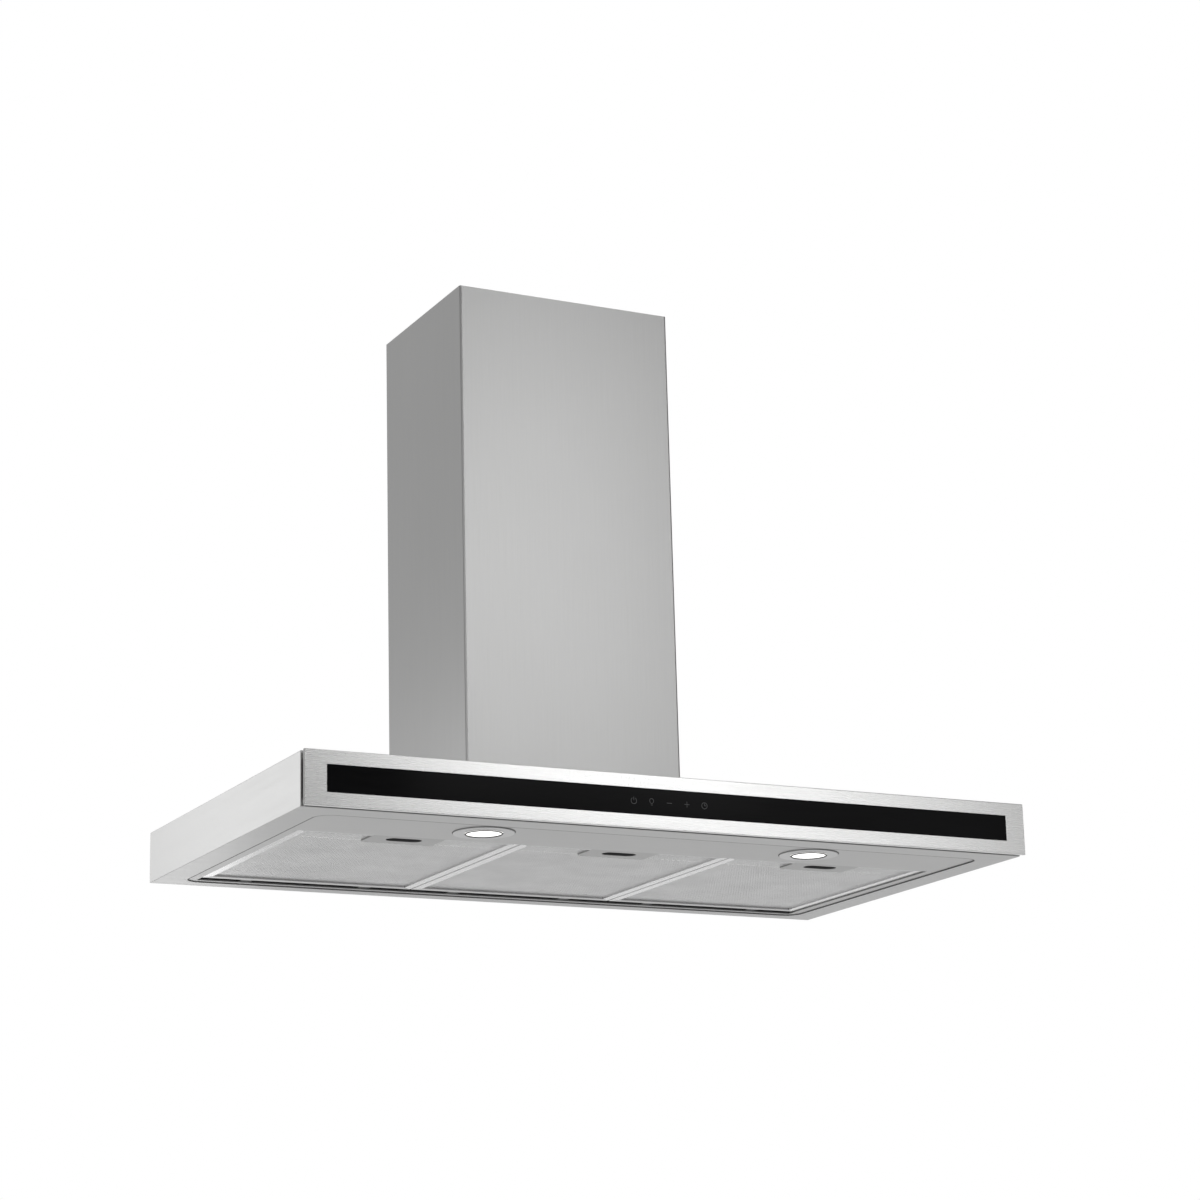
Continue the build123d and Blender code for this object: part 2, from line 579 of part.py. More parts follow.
# Lamp bezel: flange under the panel and a sleeve up through it
LAMP_PLANE = Plane(origin=(0, LAMP_Y, 0), x_dir=(1, 0, 0), z_dir=(0, -1, 0))
LAMP_AXIS = Axis((0, LAMP_Y, 0), (0, 0, 1))
with BuildPart() as lamp_bezel:
    with BuildSketch(LAMP_PLANE):
        with BuildLine():
            Polyline(
                (LAMP_WINDOW_RADIUS, PANEL_BOTTOM),
                (LAMP_WINDOW_RADIUS, PANEL_BOTTOM - LAMP_FLANGE + LAMP_FLANGE_ROUND),
                (LAMP_WINDOW_RADIUS + LAMP_FLANGE_ROUND, PANEL_BOTTOM - LAMP_FLANGE),
                (LAMP_FLANGE_RADIUS - LAMP_FLANGE_ROUND, PANEL_BOTTOM - LAMP_FLANGE),
            )
            RadiusArc(
                (LAMP_FLANGE_RADIUS - LAMP_FLANGE_ROUND, PANEL_BOTTOM - LAMP_FLANGE),
                (LAMP_FLANGE_RADIUS, PANEL_BOTTOM - LAMP_FLANGE + LAMP_FLANGE_ROUND),
                -LAMP_FLANGE_ROUND,
            )
            Polyline(
                (LAMP_FLANGE_RADIUS, PANEL_BOTTOM - LAMP_FLANGE + LAMP_FLANGE_ROUND),
                (LAMP_FLANGE_RADIUS, PANEL_BOTTOM),
                (LAMP_SLEEVE_RADIUS, PANEL_BOTTOM),
                (LAMP_SLEEVE_RADIUS, SLEEVE_TOP),
                (LAMP_BORE, SLEEVE_TOP),
                (LAMP_BORE, PANEL_BOTTOM),
                (LAMP_WINDOW_RADIUS, PANEL_BOTTOM),
            )
        make_face()
    revolve(axis=LAMP_AXIS)

# Lamp lens: rim on the bezel and a soft-edged face in its window
with BuildPart() as lamp_lens:
    with BuildSketch(Plane.XY.offset(PANEL_BOTTOM)):
        with Locations((0, LAMP_Y)):
            Circle(LAMP_WINDOW_RADIUS - LAMP_PLAY)
    extrude(amount=-LENS_FACE)
    fillet(lamp_lens.edges().sort_by(Axis.Z)[0], LENS_ROUND)
    with BuildSketch(Plane.XY.offset(PANEL_BOTTOM)):
        with Locations((0, LAMP_Y)):
            Circle(LAMP_INNER)
    extrude(amount=LENS_RIM)

# Lamp reflector: cone between the lens and the board
with BuildPart() as lamp_reflector:
    with BuildSketch(LAMP_PLANE):
        with BuildLine():
            Polyline(
                (LAMP_INNER, REFLECTOR_BOTTOM),
                (LAMP_INNER, LAMP_BOARD_BOTTOM),
                (REFLECTOR_THROAT, LAMP_BOARD_BOTTOM),
                (LAMP_INNER - REFLECTOR_LIP, REFLECTOR_BOTTOM),
                close=True,
            )
        make_face()
    revolve(axis=LAMP_AXIS)

# Lamp board with its light source
with BuildPart() as lamp_board:
    with BuildSketch(Plane.XY.offset(LAMP_BOARD_BOTTOM)):
        with Locations((0, LAMP_Y)):
            Circle(LAMP_INNER)
    extrude(amount=BOARD)
    with BuildSketch(Plane.XY.offset(LAMP_BOARD_BOTTOM)):
        with Locations((0, LAMP_Y)):
            Circle(LED_RADIUS)
    extrude(amount=-LED_HEIGHT)

# Lamp heat sink: spigot on the board, shoulder on the sleeve and fins above
with BuildPart() as lamp_heat_sink:
    with BuildSketch(Plane.XY.offset(SINK_BOTTOM)):
        with Locations((0, LAMP_Y)):
            Circle(LAMP_INNER)
    extrude(amount=SLEEVE_TOP - SINK_BOTTOM)
    with BuildSketch(Plane.XY.offset(SLEEVE_TOP)):
        with Locations((0, LAMP_Y)):
            Circle(LAMP_SLEEVE_RADIUS)
    extrude(amount=SINK_HEIGHT)
    with BuildSketch(Plane.XY.offset(SLEEVE_TOP + SINK_BASE)):
        with Locations((0, LAMP_Y)):
            with PolarLocations((SINK_CORE_RADIUS + SINK_SLOT_END) / 2, SINK_FINS):
                Rectangle(SINK_SLOT_END - SINK_CORE_RADIUS, SINK_SLOT)
    extrude(amount=SINK_HEIGHT - SINK_BASE, mode=Mode.SUBTRACT)

for side, place in LAMP_PLACES.items():
    for name, piece in (
        ("lamp_bezel", lamp_bezel),
        ("lamp_lens", lamp_lens),
        ("lamp_reflector", lamp_reflector),
        ("lamp_board", lamp_board),
        ("lamp_heat_sink", lamp_heat_sink),
    ):
        placed = piece.part.moved(Location((place, 0, 0)))
        placed.label = f"{name}_{side}"
        export_step(placed, f"parts/{name}_{side}.step")

# Filter frame: channel rails, hemmed lower lip, latch bay and rear tabs
with BuildPart() as filter_frame:
    with BuildSketch(Plane.XY.offset(FILTER_BOTTOM)):
        with Locations((0, FILTER_MIDDLE)):
            RectangleRounded(FILTER_WIDTH, FILTER_LENGTH, FILTER_CORNER)
    extrude(amount=FILTER_HEIGHT)
    with BuildSketch(Plane.XY.offset(FILTER_BOTTOM + FILTER_WALL)):
        with Locations((0, FILTER_MIDDLE)):
            Rectangle(FILTER_WIDTH - 2 * FILTER_WALL, FILTER_LENGTH - 2 * FILTER_WALL)
    extrude(amount=FILTER_HEIGHT - 2 * FILTER_WALL, mode=Mode.SUBTRACT)
    with BuildSketch(Plane.XY.offset(FILTER_BOTTOM)):
        with Locations((0, FILTER_MIDDLE)):
            Rectangle(FILTER_WIDTH - 2 * FILTER_RAIL, FILTER_LENGTH - 2 * FILTER_RAIL)
    extrude(amount=FILTER_HEIGHT, mode=Mode.SUBTRACT)
    with BuildSketch(Plane.XY.offset(FILTER_BOTTOM)):
        with Locations((0, FILTER_MIDDLE)):
            Rectangle(
                FILTER_WIDTH - 2 * FILTER_RAIL + 2 * FILTER_WALL,
                FILTER_LENGTH - 2 * FILTER_RAIL + 2 * FILTER_WALL,
            )
            Rectangle(
                FILTER_WIDTH - 2 * FILTER_RAIL,
                FILTER_LENGTH - 2 * FILTER_RAIL,
                mode=Mode.SUBTRACT,
            )
    extrude(amount=FILTER_HEM)
    with BuildSketch(Plane.XY.offset(FILTER_BOTTOM)):
        with Locations((0, LATCH_MIDDLE)):
            Rectangle(LATCH_WIDTH + 2 * LATCH_PLAY, LATCH_DEPTH)
    extrude(amount=FILTER_HEM, mode=Mode.SUBTRACT)
    with BuildSketch(Plane.XZ.offset(-LATCH_FRONT)):
        with Locations((0, TONGUE_MIDDLE)):
            Rectangle(TONGUE_SLOT_WIDTH, TONGUE_SLOT_HEIGHT)
    extrude(amount=FILTER_WALL, mode=Mode.SUBTRACT)
    with BuildSketch(Plane.XY.offset(FILTER_BOTTOM)):
        with Locations((0, FILTER_BACK + (TAB_LENGTH - FILTER_WALL) / 2)):
            with GridLocations(TAB_SPACING, 1, 2, 1):
                Rectangle(TAB_WIDTH, TAB_LENGTH + FILTER_WALL)
    extrude(amount=TAB_THICKNESS)

# Filter mesh: corrugated pack that lies on the hem under the upper lip
MESH_HALF = FILTER_WIDTH / 2 - FILTER_WALL - MESH_PLAY
MESH_LOW = FILTER_BOTTOM + FILTER_HEM
MESH_RISE = FILTER_LIP_TOP - MESH_LOW - MESH_THICKNESS
MESH_PERIOD = 2 * (MESH_FLAT + MESH_SLOPE)
MESH_FOLDS = int((2 * MESH_HALF - MESH_FLAT) / MESH_PERIOD)
MESH_EDGE = (2 * MESH_HALF - MESH_FOLDS * MESH_PERIOD) / 2
mesh_line = [(-MESH_HALF, 0.0)]
for fold in range(MESH_FOLDS):
    fold_start = -MESH_HALF + MESH_EDGE + fold * MESH_PERIOD
    mesh_line.append((fold_start, 0.0))
    mesh_line.append((fold_start + MESH_SLOPE, MESH_RISE))
    mesh_line.append((fold_start + MESH_SLOPE + MESH_FLAT, MESH_RISE))
    mesh_line.append((fold_start + 2 * MESH_SLOPE + MESH_FLAT, 0.0))
mesh_line.append((MESH_HALF, 0.0))
with BuildPart() as filter_mesh:
    with BuildSketch(Plane.XZ.offset(-FILTER_BACK + FILTER_WALL + MESH_PLAY)):
        with BuildLine():
            lower = Polyline(*[(x, MESH_LOW + rise) for x, rise in mesh_line])
            upper = Polyline(*[(x, MESH_LOW + rise + MESH_THICKNESS) for x, rise in mesh_line])
            Line(lower @ 0, upper @ 0)
            Line(lower @ 1, upper @ 1)
        make_face()
    extrude(amount=FILTER_LENGTH - 2 * (FILTER_WALL + MESH_PLAY))
    with BuildSketch(Plane.XY.offset(MESH_LOW)):
        with Locations((0, LATCH_MIDDLE)):
            Rectangle(LATCH_WIDTH + 2 * MESH_PLAY, LATCH_DEPTH + 2 * MESH_PLAY)
    extrude(amount=FILTER_HEIGHT, mode=Mode.SUBTRACT)

# Latch base: tray with a finger slot in its floor
with BuildPart() as latch_base:
    with BuildSketch(Plane.XY.offset(FILTER_BOTTOM)):
        with Locations((0, LATCH_MIDDLE)):
            Rectangle(LATCH_WIDTH, LATCH_DEPTH)
    extrude(amount=FILTER_LIP_TOP - FILTER_BOTTOM)
    fillet(latch_base.edges().filter_by(Axis.Z).group_by(Axis.Y)[-1], LATCH_CORNER)
    with BuildSketch(Plane.XY.offset(SLIDER_BOTTOM)):
        with Locations((0, LATCH_MIDDLE)):
            Rectangle(LATCH_WIDTH - 2 * LATCH_WALL, LATCH_DEPTH - 2 * LATCH_WALL)
    extrude(amount=FILTER_LIP_TOP - SLIDER_BOTTOM, mode=Mode.SUBTRACT)
    with BuildSketch(Plane.XZ.offset(-LATCH_FRONT)):
        with Locations((0, TONGUE_MIDDLE)):
            Rectangle(TONGUE_SLOT_WIDTH, TONGUE_SLOT_HEIGHT)
    extrude(amount=-LATCH_WALL, mode=Mode.SUBTRACT)
    with BuildSketch(Plane.XY.offset(FILTER_BOTTOM)):
        with Locations((0, FINGER_SLOT_MIDDLE)):
            SlotOverall(FINGER_SLOT_LENGTH, FINGER_SLOT_WIDTH)
    extrude(amount=LATCH_FLOOR, mode=Mode.SUBTRACT)

# Latch slider: plate with a finger hole and a tongue that the spring pushes out
with BuildPart() as latch_slider:
    with BuildSketch(Plane.XY.offset(SLIDER_BOTTOM)):
        with Locations((0, SLIDER_MIDDLE)):
            Rectangle(SLIDER_WIDTH, SLIDER_BACK - SLIDER_FRONT)
        with Locations((0, FINGER_SLOT_MIDDLE)):
            SlotOverall(FINGER_SLOT_LENGTH, FINGER_SLOT_WIDTH, mode=Mode.SUBTRACT)
    extrude(amount=SLIDER_HEIGHT)
    with BuildSketch(Plane.XY.offset(TONGUE_BOTTOM)):
        with Locations((0, (TONGUE_TIP + SLIDER_FRONT) / 2)):
            Rectangle(TONGUE_WIDTH, SLIDER_FRONT - TONGUE_TIP)
    extrude(amount=TONGUE_THICKNESS)
    tongue_end = latch_slider.faces().sort_by(Axis.Y)[0]
    chamfer(tongue_end.edges().sort_by(Axis.Z)[-1], TONGUE_LEAD)

# Latch spring: bowed strip between the slider and the back of the tray
SPRING_BACK = LATCH_BACK - LATCH_WALL
SPRING_BOW = SPRING_BACK - SLIDER_BACK - SPRING_PLAY
SPRING_RADIUS = ((SPRING_SPAN / 2) ** 2 + SPRING_BOW**2) / (2 * SPRING_BOW)
with BuildPart() as latch_spring:
    with BuildSketch(Plane.XY.offset(SLIDER_BOTTOM + SPRING_LIFT)):
        with Locations((0, SPRING_BACK - SPRING_BOW + SPRING_RADIUS)):
            Circle(SPRING_RADIUS)
            Circle(SPRING_RADIUS - SPRING_STRIP, mode=Mode.SUBTRACT)
        with Locations((0, SPRING_BACK - SPRING_BOW / 2)):
            Rectangle(LATCH_WIDTH, SPRING_BOW, mode=Mode.INTERSECT)
    extrude(amount=SPRING_HEIGHT)

for side, place in FILTER_PLACES.items():
    for name, piece in (
        ("filter_frame", filter_frame),
        ("filter_mesh", filter_mesh),
        ("latch_base", latch_base),
        ("latch_slider", latch_slider),
        ("latch_spring", latch_spring),
    ):
        placed = piece.part.moved(Location((place, 0, 0)))
        placed.label = f"{name}_{side}"
        export_step(placed, f"parts/{name}_{side}.step")

# Lower chimney cover: folded front and sides with returns along the wall
with BuildPart() as chimney_lower:
    with BuildSketch(Plane.XY.offset(CANOPY_TOP)):
        with Locations((0, -CHIMNEY_DEPTH / 2)):
            outer = Rectangle(CHIMNEY_WIDTH, CHIMNEY_DEPTH)
        fillet(outer.vertices().group_by(Axis.Y)[0], CHIMNEY_BEND)
        with Locations((0, -CHIMNEY_DEPTH / 2)):
            Rectangle(CHIMNEY_WIDTH - 2 * SHEET, CHIMNEY_DEPTH - 2 * SHEET, mode=Mode.SUBTRACT)
        with Locations((0, -SHEET / 2)):
            Rectangle(CHIMNEY_WIDTH - 2 * CHIMNEY_RETURN, SHEET, mode=Mode.SUBTRACT)
    extrude(amount=CHIMNEY_HEIGHT)
chimney_lower.part.label = "chimney_lower"
export_step(chimney_lower.part, "parts/chimney_lower.step")

# Upper chimney cover: slides inside the lower one, with vent slots near its top
with BuildPart() as chimney_upper:
    with BuildSketch(Plane.XY.offset(UPPER_BOTTOM)):
        with Locations((0, (UPPER_FRONT + UPPER_REAR) / 2)):
            Rectangle(UPPER_WIDTH, UPPER_REAR - UPPER_FRONT)
            Rectangle(
                UPPER_WIDTH - 2 * SHEET, UPPER_REAR - UPPER_FRONT - 2 * SHEET, mode=Mode.SUBTRACT
            )
        with Locations((0, UPPER_REAR - SHEET / 2)):
            Rectangle(UPPER_WIDTH - 2 * SHEET - 2 * UPPER_RETURN, SHEET, mode=Mode.SUBTRACT)
    extrude(amount=UPPER_TOP - UPPER_BOTTOM)
    with BuildSketch(Plane.YZ.offset(-UPPER_WIDTH / 2)):
        with Locations(((UPPER_FRONT + UPPER_REAR) / 2, UPPER_TOP - VENT_DROP)):
            with GridLocations(1, VENT_PITCH, 1, VENT_COUNT):
                SlotOverall(VENT_LENGTH, VENT_WIDTH)
        with Locations((CHIMNEY_SCREW_Y, BRACKET_MIDDLE)):
            Circle(CHIMNEY_SCREW / 2 + SCREW_PLAY)
    extrude(amount=UPPER_WIDTH, mode=Mode.SUBTRACT)
chimney_upper.part.label = "chimney_upper"
export_step(chimney_upper.part, "parts/chimney_upper.step")

# Feet: angles on the canopy inside the lower cover
with BuildPart() as chimney_feet:
    with BuildSketch(Plane.XZ.offset(FOOT_FROM_WALL - FOOT_LENGTH / 2)):
        for side in (-1, 1):
            inside = side * (CHIMNEY_WIDTH / 2 - SHEET)
            with Locations((inside - side * FOOT_THICKNESS / 2, CANOPY_TOP + FOOT_HEIGHT / 2)):
                Rectangle(FOOT_THICKNESS, FOOT_HEIGHT)
            with Locations((inside - side * FOOT_REACH / 2, CANOPY_TOP + FOOT_THICKNESS / 2)):
                Rectangle(FOOT_REACH, FOOT_THICKNESS)
    extrude(amount=FOOT_LENGTH)
chimney_feet.part.label = "chimney_feet"
export_step(chimney_feet.part, "parts/chimney_feet.step")

# Chimney bracket: wall strip whose ends step forward and run along the upper cover's sides
with BuildPart() as chimney_bracket:
    with BuildSketch(Plane.XY.offset(BRACKET_MIDDLE - BRACKET_HEIGHT / 2)):
        with Locations((0, -BRACKET_STRIP / 2)):
            Rectangle(2 * BRACKET_HALF, BRACKET_STRIP)
        for side in (-1, 1):
            with Locations((side * (BRACKET_HALF - BRACKET_STRIP / 2), BRACKET_SHOULDER / 2)):
                Rectangle(BRACKET_STRIP, -BRACKET_SHOULDER)
            shoulder = UPPER_INSIDE - BRACKET_HALF + BRACKET_STRIP
            shoulder_x = side * (UPPER_INSIDE - shoulder / 2)
            with Locations((shoulder_x, BRACKET_SHOULDER + BRACKET_STRIP / 2)):
                Rectangle(shoulder, BRACKET_STRIP)
            arm_x = side * (UPPER_INSIDE - BRACKET_STRIP / 2)
            with Locations((arm_x, CHIMNEY_SCREW_Y)):
                Rectangle(BRACKET_STRIP, BRACKET_ARM)
    extrude(amount=BRACKET_HEIGHT)
    with BuildSketch(Plane.XZ):
        with Locations((0, BRACKET_MIDDLE)):
            with GridLocations(BRACKET_SCREW_SPACING, 1, 2, 1):
                Circle(BRACKET_SCREW_HOLE / 2)
    extrude(amount=BRACKET_STRIP, mode=Mode.SUBTRACT)
    with BuildSketch(Plane.YZ.offset(-UPPER_INSIDE)):
        with Locations((CHIMNEY_SCREW_Y, BRACKET_MIDDLE)):
            Circle(CHIMNEY_SCREW / 2 + SCREW_PLAY)
    extrude(amount=2 * UPPER_INSIDE, mode=Mode.SUBTRACT)
chimney_bracket.part.label = "chimney_bracket"
export_step(chimney_bracket.part, "parts/chimney_bracket.step")

# Chimney screws: low heads that clear the lower cover
with BuildPart() as chimney_screws:
    for side in (-1, 1):
        with BuildSketch(Plane.YZ.offset(side * UPPER_WIDTH / 2)):
            with Locations((CHIMNEY_SCREW_Y, BRACKET_MIDDLE)):
                Circle(CHIMNEY_SCREW_HEAD / 2)
        extrude(amount=side * CHIMNEY_SCREW_RISE)
        with BuildSketch(Plane.YZ.offset(side * UPPER_WIDTH / 2)):
            with Locations((CHIMNEY_SCREW_Y, BRACKET_MIDDLE)):
                Circle(CHIMNEY_SCREW / 2)
        extrude(amount=-side * CHIMNEY_SCREW_LENGTH)
chimney_screws.part.label = "chimney_screws"
export_step(chimney_screws.part, "parts/chimney_screws.step")

# Wall plate: back of the casing, with the upper wall screws above it and a stiffening lip
with BuildPart() as wall_plate:
    with BuildSketch(Plane.XZ):
        with Locations((0, (CANOPY_TOP + WALL_SCREW_RISE / 2 + PLATE_ABOVE_SCREW) / 2)):
            Rectangle(2 * CASING_HALF, WALL_SCREW_RISE / 2 + PLATE_ABOVE_SCREW - CANOPY_TOP)
        with Locations((0, WALL_SCREW_RISE / 2)):
            with GridLocations(WALL_SCREW_SPACING, 1, 2, 1):
                Circle(WALL_SCREW_HOLE / 2, mode=Mode.SUBTRACT)
    extrude(amount=PLATE)
    with BuildSketch(Plane.XY.offset(WALL_SCREW_RISE / 2 + PLATE_ABOVE_SCREW)):
        with Locations((0, -PLATE_LIP / 2)):
            Rectangle(2 * CASING_HALF, PLATE_LIP)
    extrude(amount=-PLATE)
wall_plate.part.label = "wall_plate"
export_step(wall_plate.part, "parts/wall_plate.step")

# Blower casing: sides and top in one folded sheet, with feet turned in on the canopy
with BuildPart() as blower_casing:
    with BuildSketch(Plane.XZ.offset(PLATE)):
        with Locations((0, CASING_MIDDLE)):
            Rectangle(2 * CASING_HALF, CASING_HEIGHT)
        with Locations((0, CASING_MIDDLE - SHEET / 2)):
            Rectangle(2 * (CASING_HALF - SHEET), CASING_HEIGHT - SHEET, mode=Mode.SUBTRACT)
        with Locations((0, CANOPY_TOP + SHEET / 2)):
            with GridLocations(2 * CASING_HALF - SHEET - CASING_FOOT, 1, 2, 1):
                Rectangle(CASING_FOOT + SHEET, SHEET)
    extrude(amount=CASING_DEPTH)
    with BuildSketch(Plane.XY.offset(CASING_TOP)):
        with Locations(COLLAR_CENTRE):
            Circle(COLLAR_INNER)
            with PolarLocations(COLLAR_SCREW_RADIUS, COLLAR_SCREWS, 180 / COLLAR_SCREWS):
                Circle(SCREW / 2 + SCREW_PLAY)
        with Locations((CASING_HALF - CAPACITOR_INSET, -CAPACITOR_FROM_WALL)):
            Circle(CAPACITOR_STUD_RADIUS + SCREW_PLAY)
        with Locations((-CASING_HALF + GLAND_INSET, CASING_FRONT + GLAND_FROM_FRONT)):
            Circle(GLAND_BORE_RADIUS)
    extrude(amount=-SHEET, mode=Mode.SUBTRACT)
    with BuildSketch(Plane.YZ.offset(-CASING_HALF)):
        with Locations((COVER_SCREW_Y, CASING_MIDDLE)):
            with GridLocations(1, COVER_SCREW_PITCH, 1, COVER_SCREW_ROWS):
                Circle(SCREW / 2 + SCREW_PLAY)
    extrude(amount=2 * CASING_HALF, mode=Mode.SUBTRACT)
blower_casing.part.label = "blower_casing"
export_step(blower_casing.part, "parts/blower_casing.step")

# Blower cover: front sheet with returns inside the casing
with BuildPart() as blower_cover:
    with BuildSketch(Plane.XZ.offset(-CASING_FRONT)):
        with Locations((0, CASING_MIDDLE)):
            Rectangle(2 * CASING_HALF, CASING_HEIGHT)
    extrude(amount=SHEET)
    with BuildSketch(Plane.XZ.offset(-CASING_FRONT)):
        with Locations((0, CASING_MIDDLE)):
            with GridLocations(2 * COVER_HALF - SHEET, 1, 2, 1):
                Rectangle(SHEET, CASING_HEIGHT - 2 * (SHEET + COVER_PLAY))
    extrude(amount=-COVER_RETURN)
    with BuildSketch(Plane.YZ.offset(-CASING_HALF)):
        with Locations((COVER_SCREW_Y, CASING_MIDDLE)):
            with GridLocations(1, COVER_SCREW_PITCH, 1, COVER_SCREW_ROWS):
                Circle(SCREW / 2 + SCREW_PLAY)
    extrude(amount=2 * CASING_HALF, mode=Mode.SUBTRACT)
blower_cover.part.label = "blower_cover"
export_step(blower_cover.part, "parts/blower_cover.step")

# Spiral of the scroll, seen along the wheel's axis: four arcs that grow by a step each quarter turn
with BuildLine() as scroll_line:
    CenterArc((WHEEL_Y, WHEEL_Z), SCROLL_START, 90, SCROLL_TONGUE_ANGLE)
    CenterArc((WHEEL_Y, WHEEL_Z - SCROLL_STEP), SCROLL_START + SCROLL_STEP, 0, 90)
    CenterArc(
        (WHEEL_Y - SCROLL_STEP, WHEEL_Z - SCROLL_STEP), SCROLL_START + 2 * SCROLL_STEP, 270, 90
    )
    CenterArc((WHEEL_Y - SCROLL_STEP, WHEEL_Z), SCROLL_START + 3 * SCROLL_STEP, 180, 90)
    Polyline(
        (NECK_FRONT, WHEEL_Z),
        (NECK_FRONT, NECK_TOP),
        (TONGUE_Y, NECK_TOP),
        (TONGUE_Y, TONGUE_Z),
    )

# Right half of the scroll: wrap, side with its inlet lip, and the flange of the joint
with BuildPart() as scroll_right:
    with BuildSketch(Plane.YZ):
        make_face(scroll_line.edges())
        offset(amount=SCROLL_WALL + SCROLL_JOINT)
    extrude(amount=SCROLL_WALL)
    with BuildSketch(Plane.YZ):
        make_face(scroll_line.edges())
        offset(amount=SCROLL_WALL)
    extrude(amount=SCROLL_HALF)
    with BuildSketch(Plane.YZ):
        make_face(scroll_line.edges())
    extrude(amount=SCROLL_HALF - SCROLL_WALL, mode=Mode.SUBTRACT)
    with BuildSketch(Plane.YZ):
        with Locations((NECK_MIDDLE, NECK_TOP + SCROLL_JOINT)):
            Rectangle(NECK_DEPTH + 4 * (SCROLL_WALL + SCROLL_JOINT), 2 * SCROLL_JOINT)
    extrude(amount=SCROLL_HALF, mode=Mode.SUBTRACT)
    with BuildSketch(Plane.YZ.offset(SCROLL_HALF)):
        with Locations((WHEEL_Y, WHEEL_Z)):
            Circle(INLET_RADIUS + INLET_WALL)
    extrude(amount=-SCROLL_WALL - INLET_LIP)
    with BuildSketch(Plane.YZ.offset(SCROLL_HALF)):
        with Locations((WHEEL_Y, WHEEL_Z)):
            Circle(INLET_RADIUS)
            with PolarLocations(SPIDER_SCREW_RADIUS, SPIDER_ARMS):
                Circle(SCREW / 2 + SCREW_PLAY)
    extrude(amount=-SCROLL_WALL - INLET_LIP, mode=Mode.SUBTRACT)
scroll_right.part.label = "scroll_right"
export_step(scroll_right.part, "parts/scroll_right.step")

# Left half of the scroll, the mirror of the right
with BuildPart() as scroll_left:
    mirror(scroll_right.part, about=Plane.YZ)
scroll_left.part.label = "scroll_left"
export_step(scroll_left.part, "parts/scroll_left.step")

# One impeller blade, drawn along its chord
with BuildSketch() as blade:
    with BuildLine():
        blade_front = ThreePointArc((0, 0), (BLADE_DEPTH / 2, -BLADE_BOW), (BLADE_DEPTH, 0))
        blade_back = ThreePointArc(
            (0, BLADE_THICKNESS),
            (BLADE_DEPTH / 2, BLADE_THICKNESS - BLADE_BOW),
            (BLADE_DEPTH, BLADE_THICKNESS),
        )
        Line(blade_front @ 0, blade_back @ 0)
        Line(blade_front @ 1, blade_back @ 1)
    make_face()

# Impeller: curved blades between two end rings, carried by a disc and hub in the middle
with BuildPart() as impeller:
    with BuildSketch(Plane.YZ.offset(-IMPELLER_HALF)):
        with Locations((WHEEL_Y, WHEEL_Z)):
            with PolarLocations(BLADE_INNER, BLADES):
                with Locations(Location((0, 0, 0), (0, 0, BLADE_TILT))):
                    add(blade.sketch)
    extrude(amount=2 * IMPELLER_HALF)
    for end in (-IMPELLER_HALF, IMPELLER_HALF - RING_HEIGHT):
        with BuildSketch(Plane.YZ.offset(end)):
            with Locations((WHEEL_Y, WHEEL_Z)):
                Circle(IMPELLER_RADIUS)
                Circle(BLADE_INNER, mode=Mode.SUBTRACT)
        extrude(amount=RING_HEIGHT)
    with BuildSketch(Plane.YZ.offset(-DISC / 2)):
        with Locations((WHEEL_Y, WHEEL_Z)):
            Circle(IMPELLER_RADIUS)
    extrude(amount=DISC)
    with BuildSketch(Plane.YZ.offset(-HUB_LENGTH / 2)):
        with Locations((WHEEL_Y, WHEEL_Z)):
            Circle(HUB_RADIUS)
    extrude(amount=HUB_LENGTH)
    with BuildSketch(Plane.YZ.offset(-HUB_LENGTH / 2)):
        with Locations((WHEEL_Y, WHEEL_Z)):
            Circle(SHAFT_RADIUS + SHAFT_PLAY)
    extrude(amount=HUB_LENGTH, mode=Mode.SUBTRACT)
impeller.part.label = "impeller"
export_step(impeller.part, "parts/impeller.step")

# Motor shaft: clamps the hub between a collar and a nut
with BuildPart() as motor_shaft:
    with BuildSketch(Plane.YZ.offset(MOTOR_BACK + MOTOR_WALL)):
        with Locations((WHEEL_Y, WHEEL_Z)):
            Circle(SHAFT_RADIUS)
    extrude(amount=HUB_LENGTH / 2 + SHAFT_COLLAR + SHAFT_END - MOTOR_BACK - MOTOR_WALL)
    with BuildSketch(Plane.YZ.offset(-HUB_LENGTH / 2 - SHAFT_COLLAR)):
        with Locations((WHEEL_Y, WHEEL_Z)):
            Circle(SHAFT_COLLAR_RADIUS)
    extrude(amount=SHAFT_COLLAR)
    with BuildSketch(Plane.YZ.offset(HUB_LENGTH / 2)):
        with Locations((WHEEL_Y, WHEEL_Z)):
            RegularPolygon(SHAFT_COLLAR_RADIUS, 6)
    extrude(amount=SHAFT_COLLAR)
motor_shaft.part.label = "motor_shaft"
export_step(motor_shaft.part, "parts/motor_shaft.step")

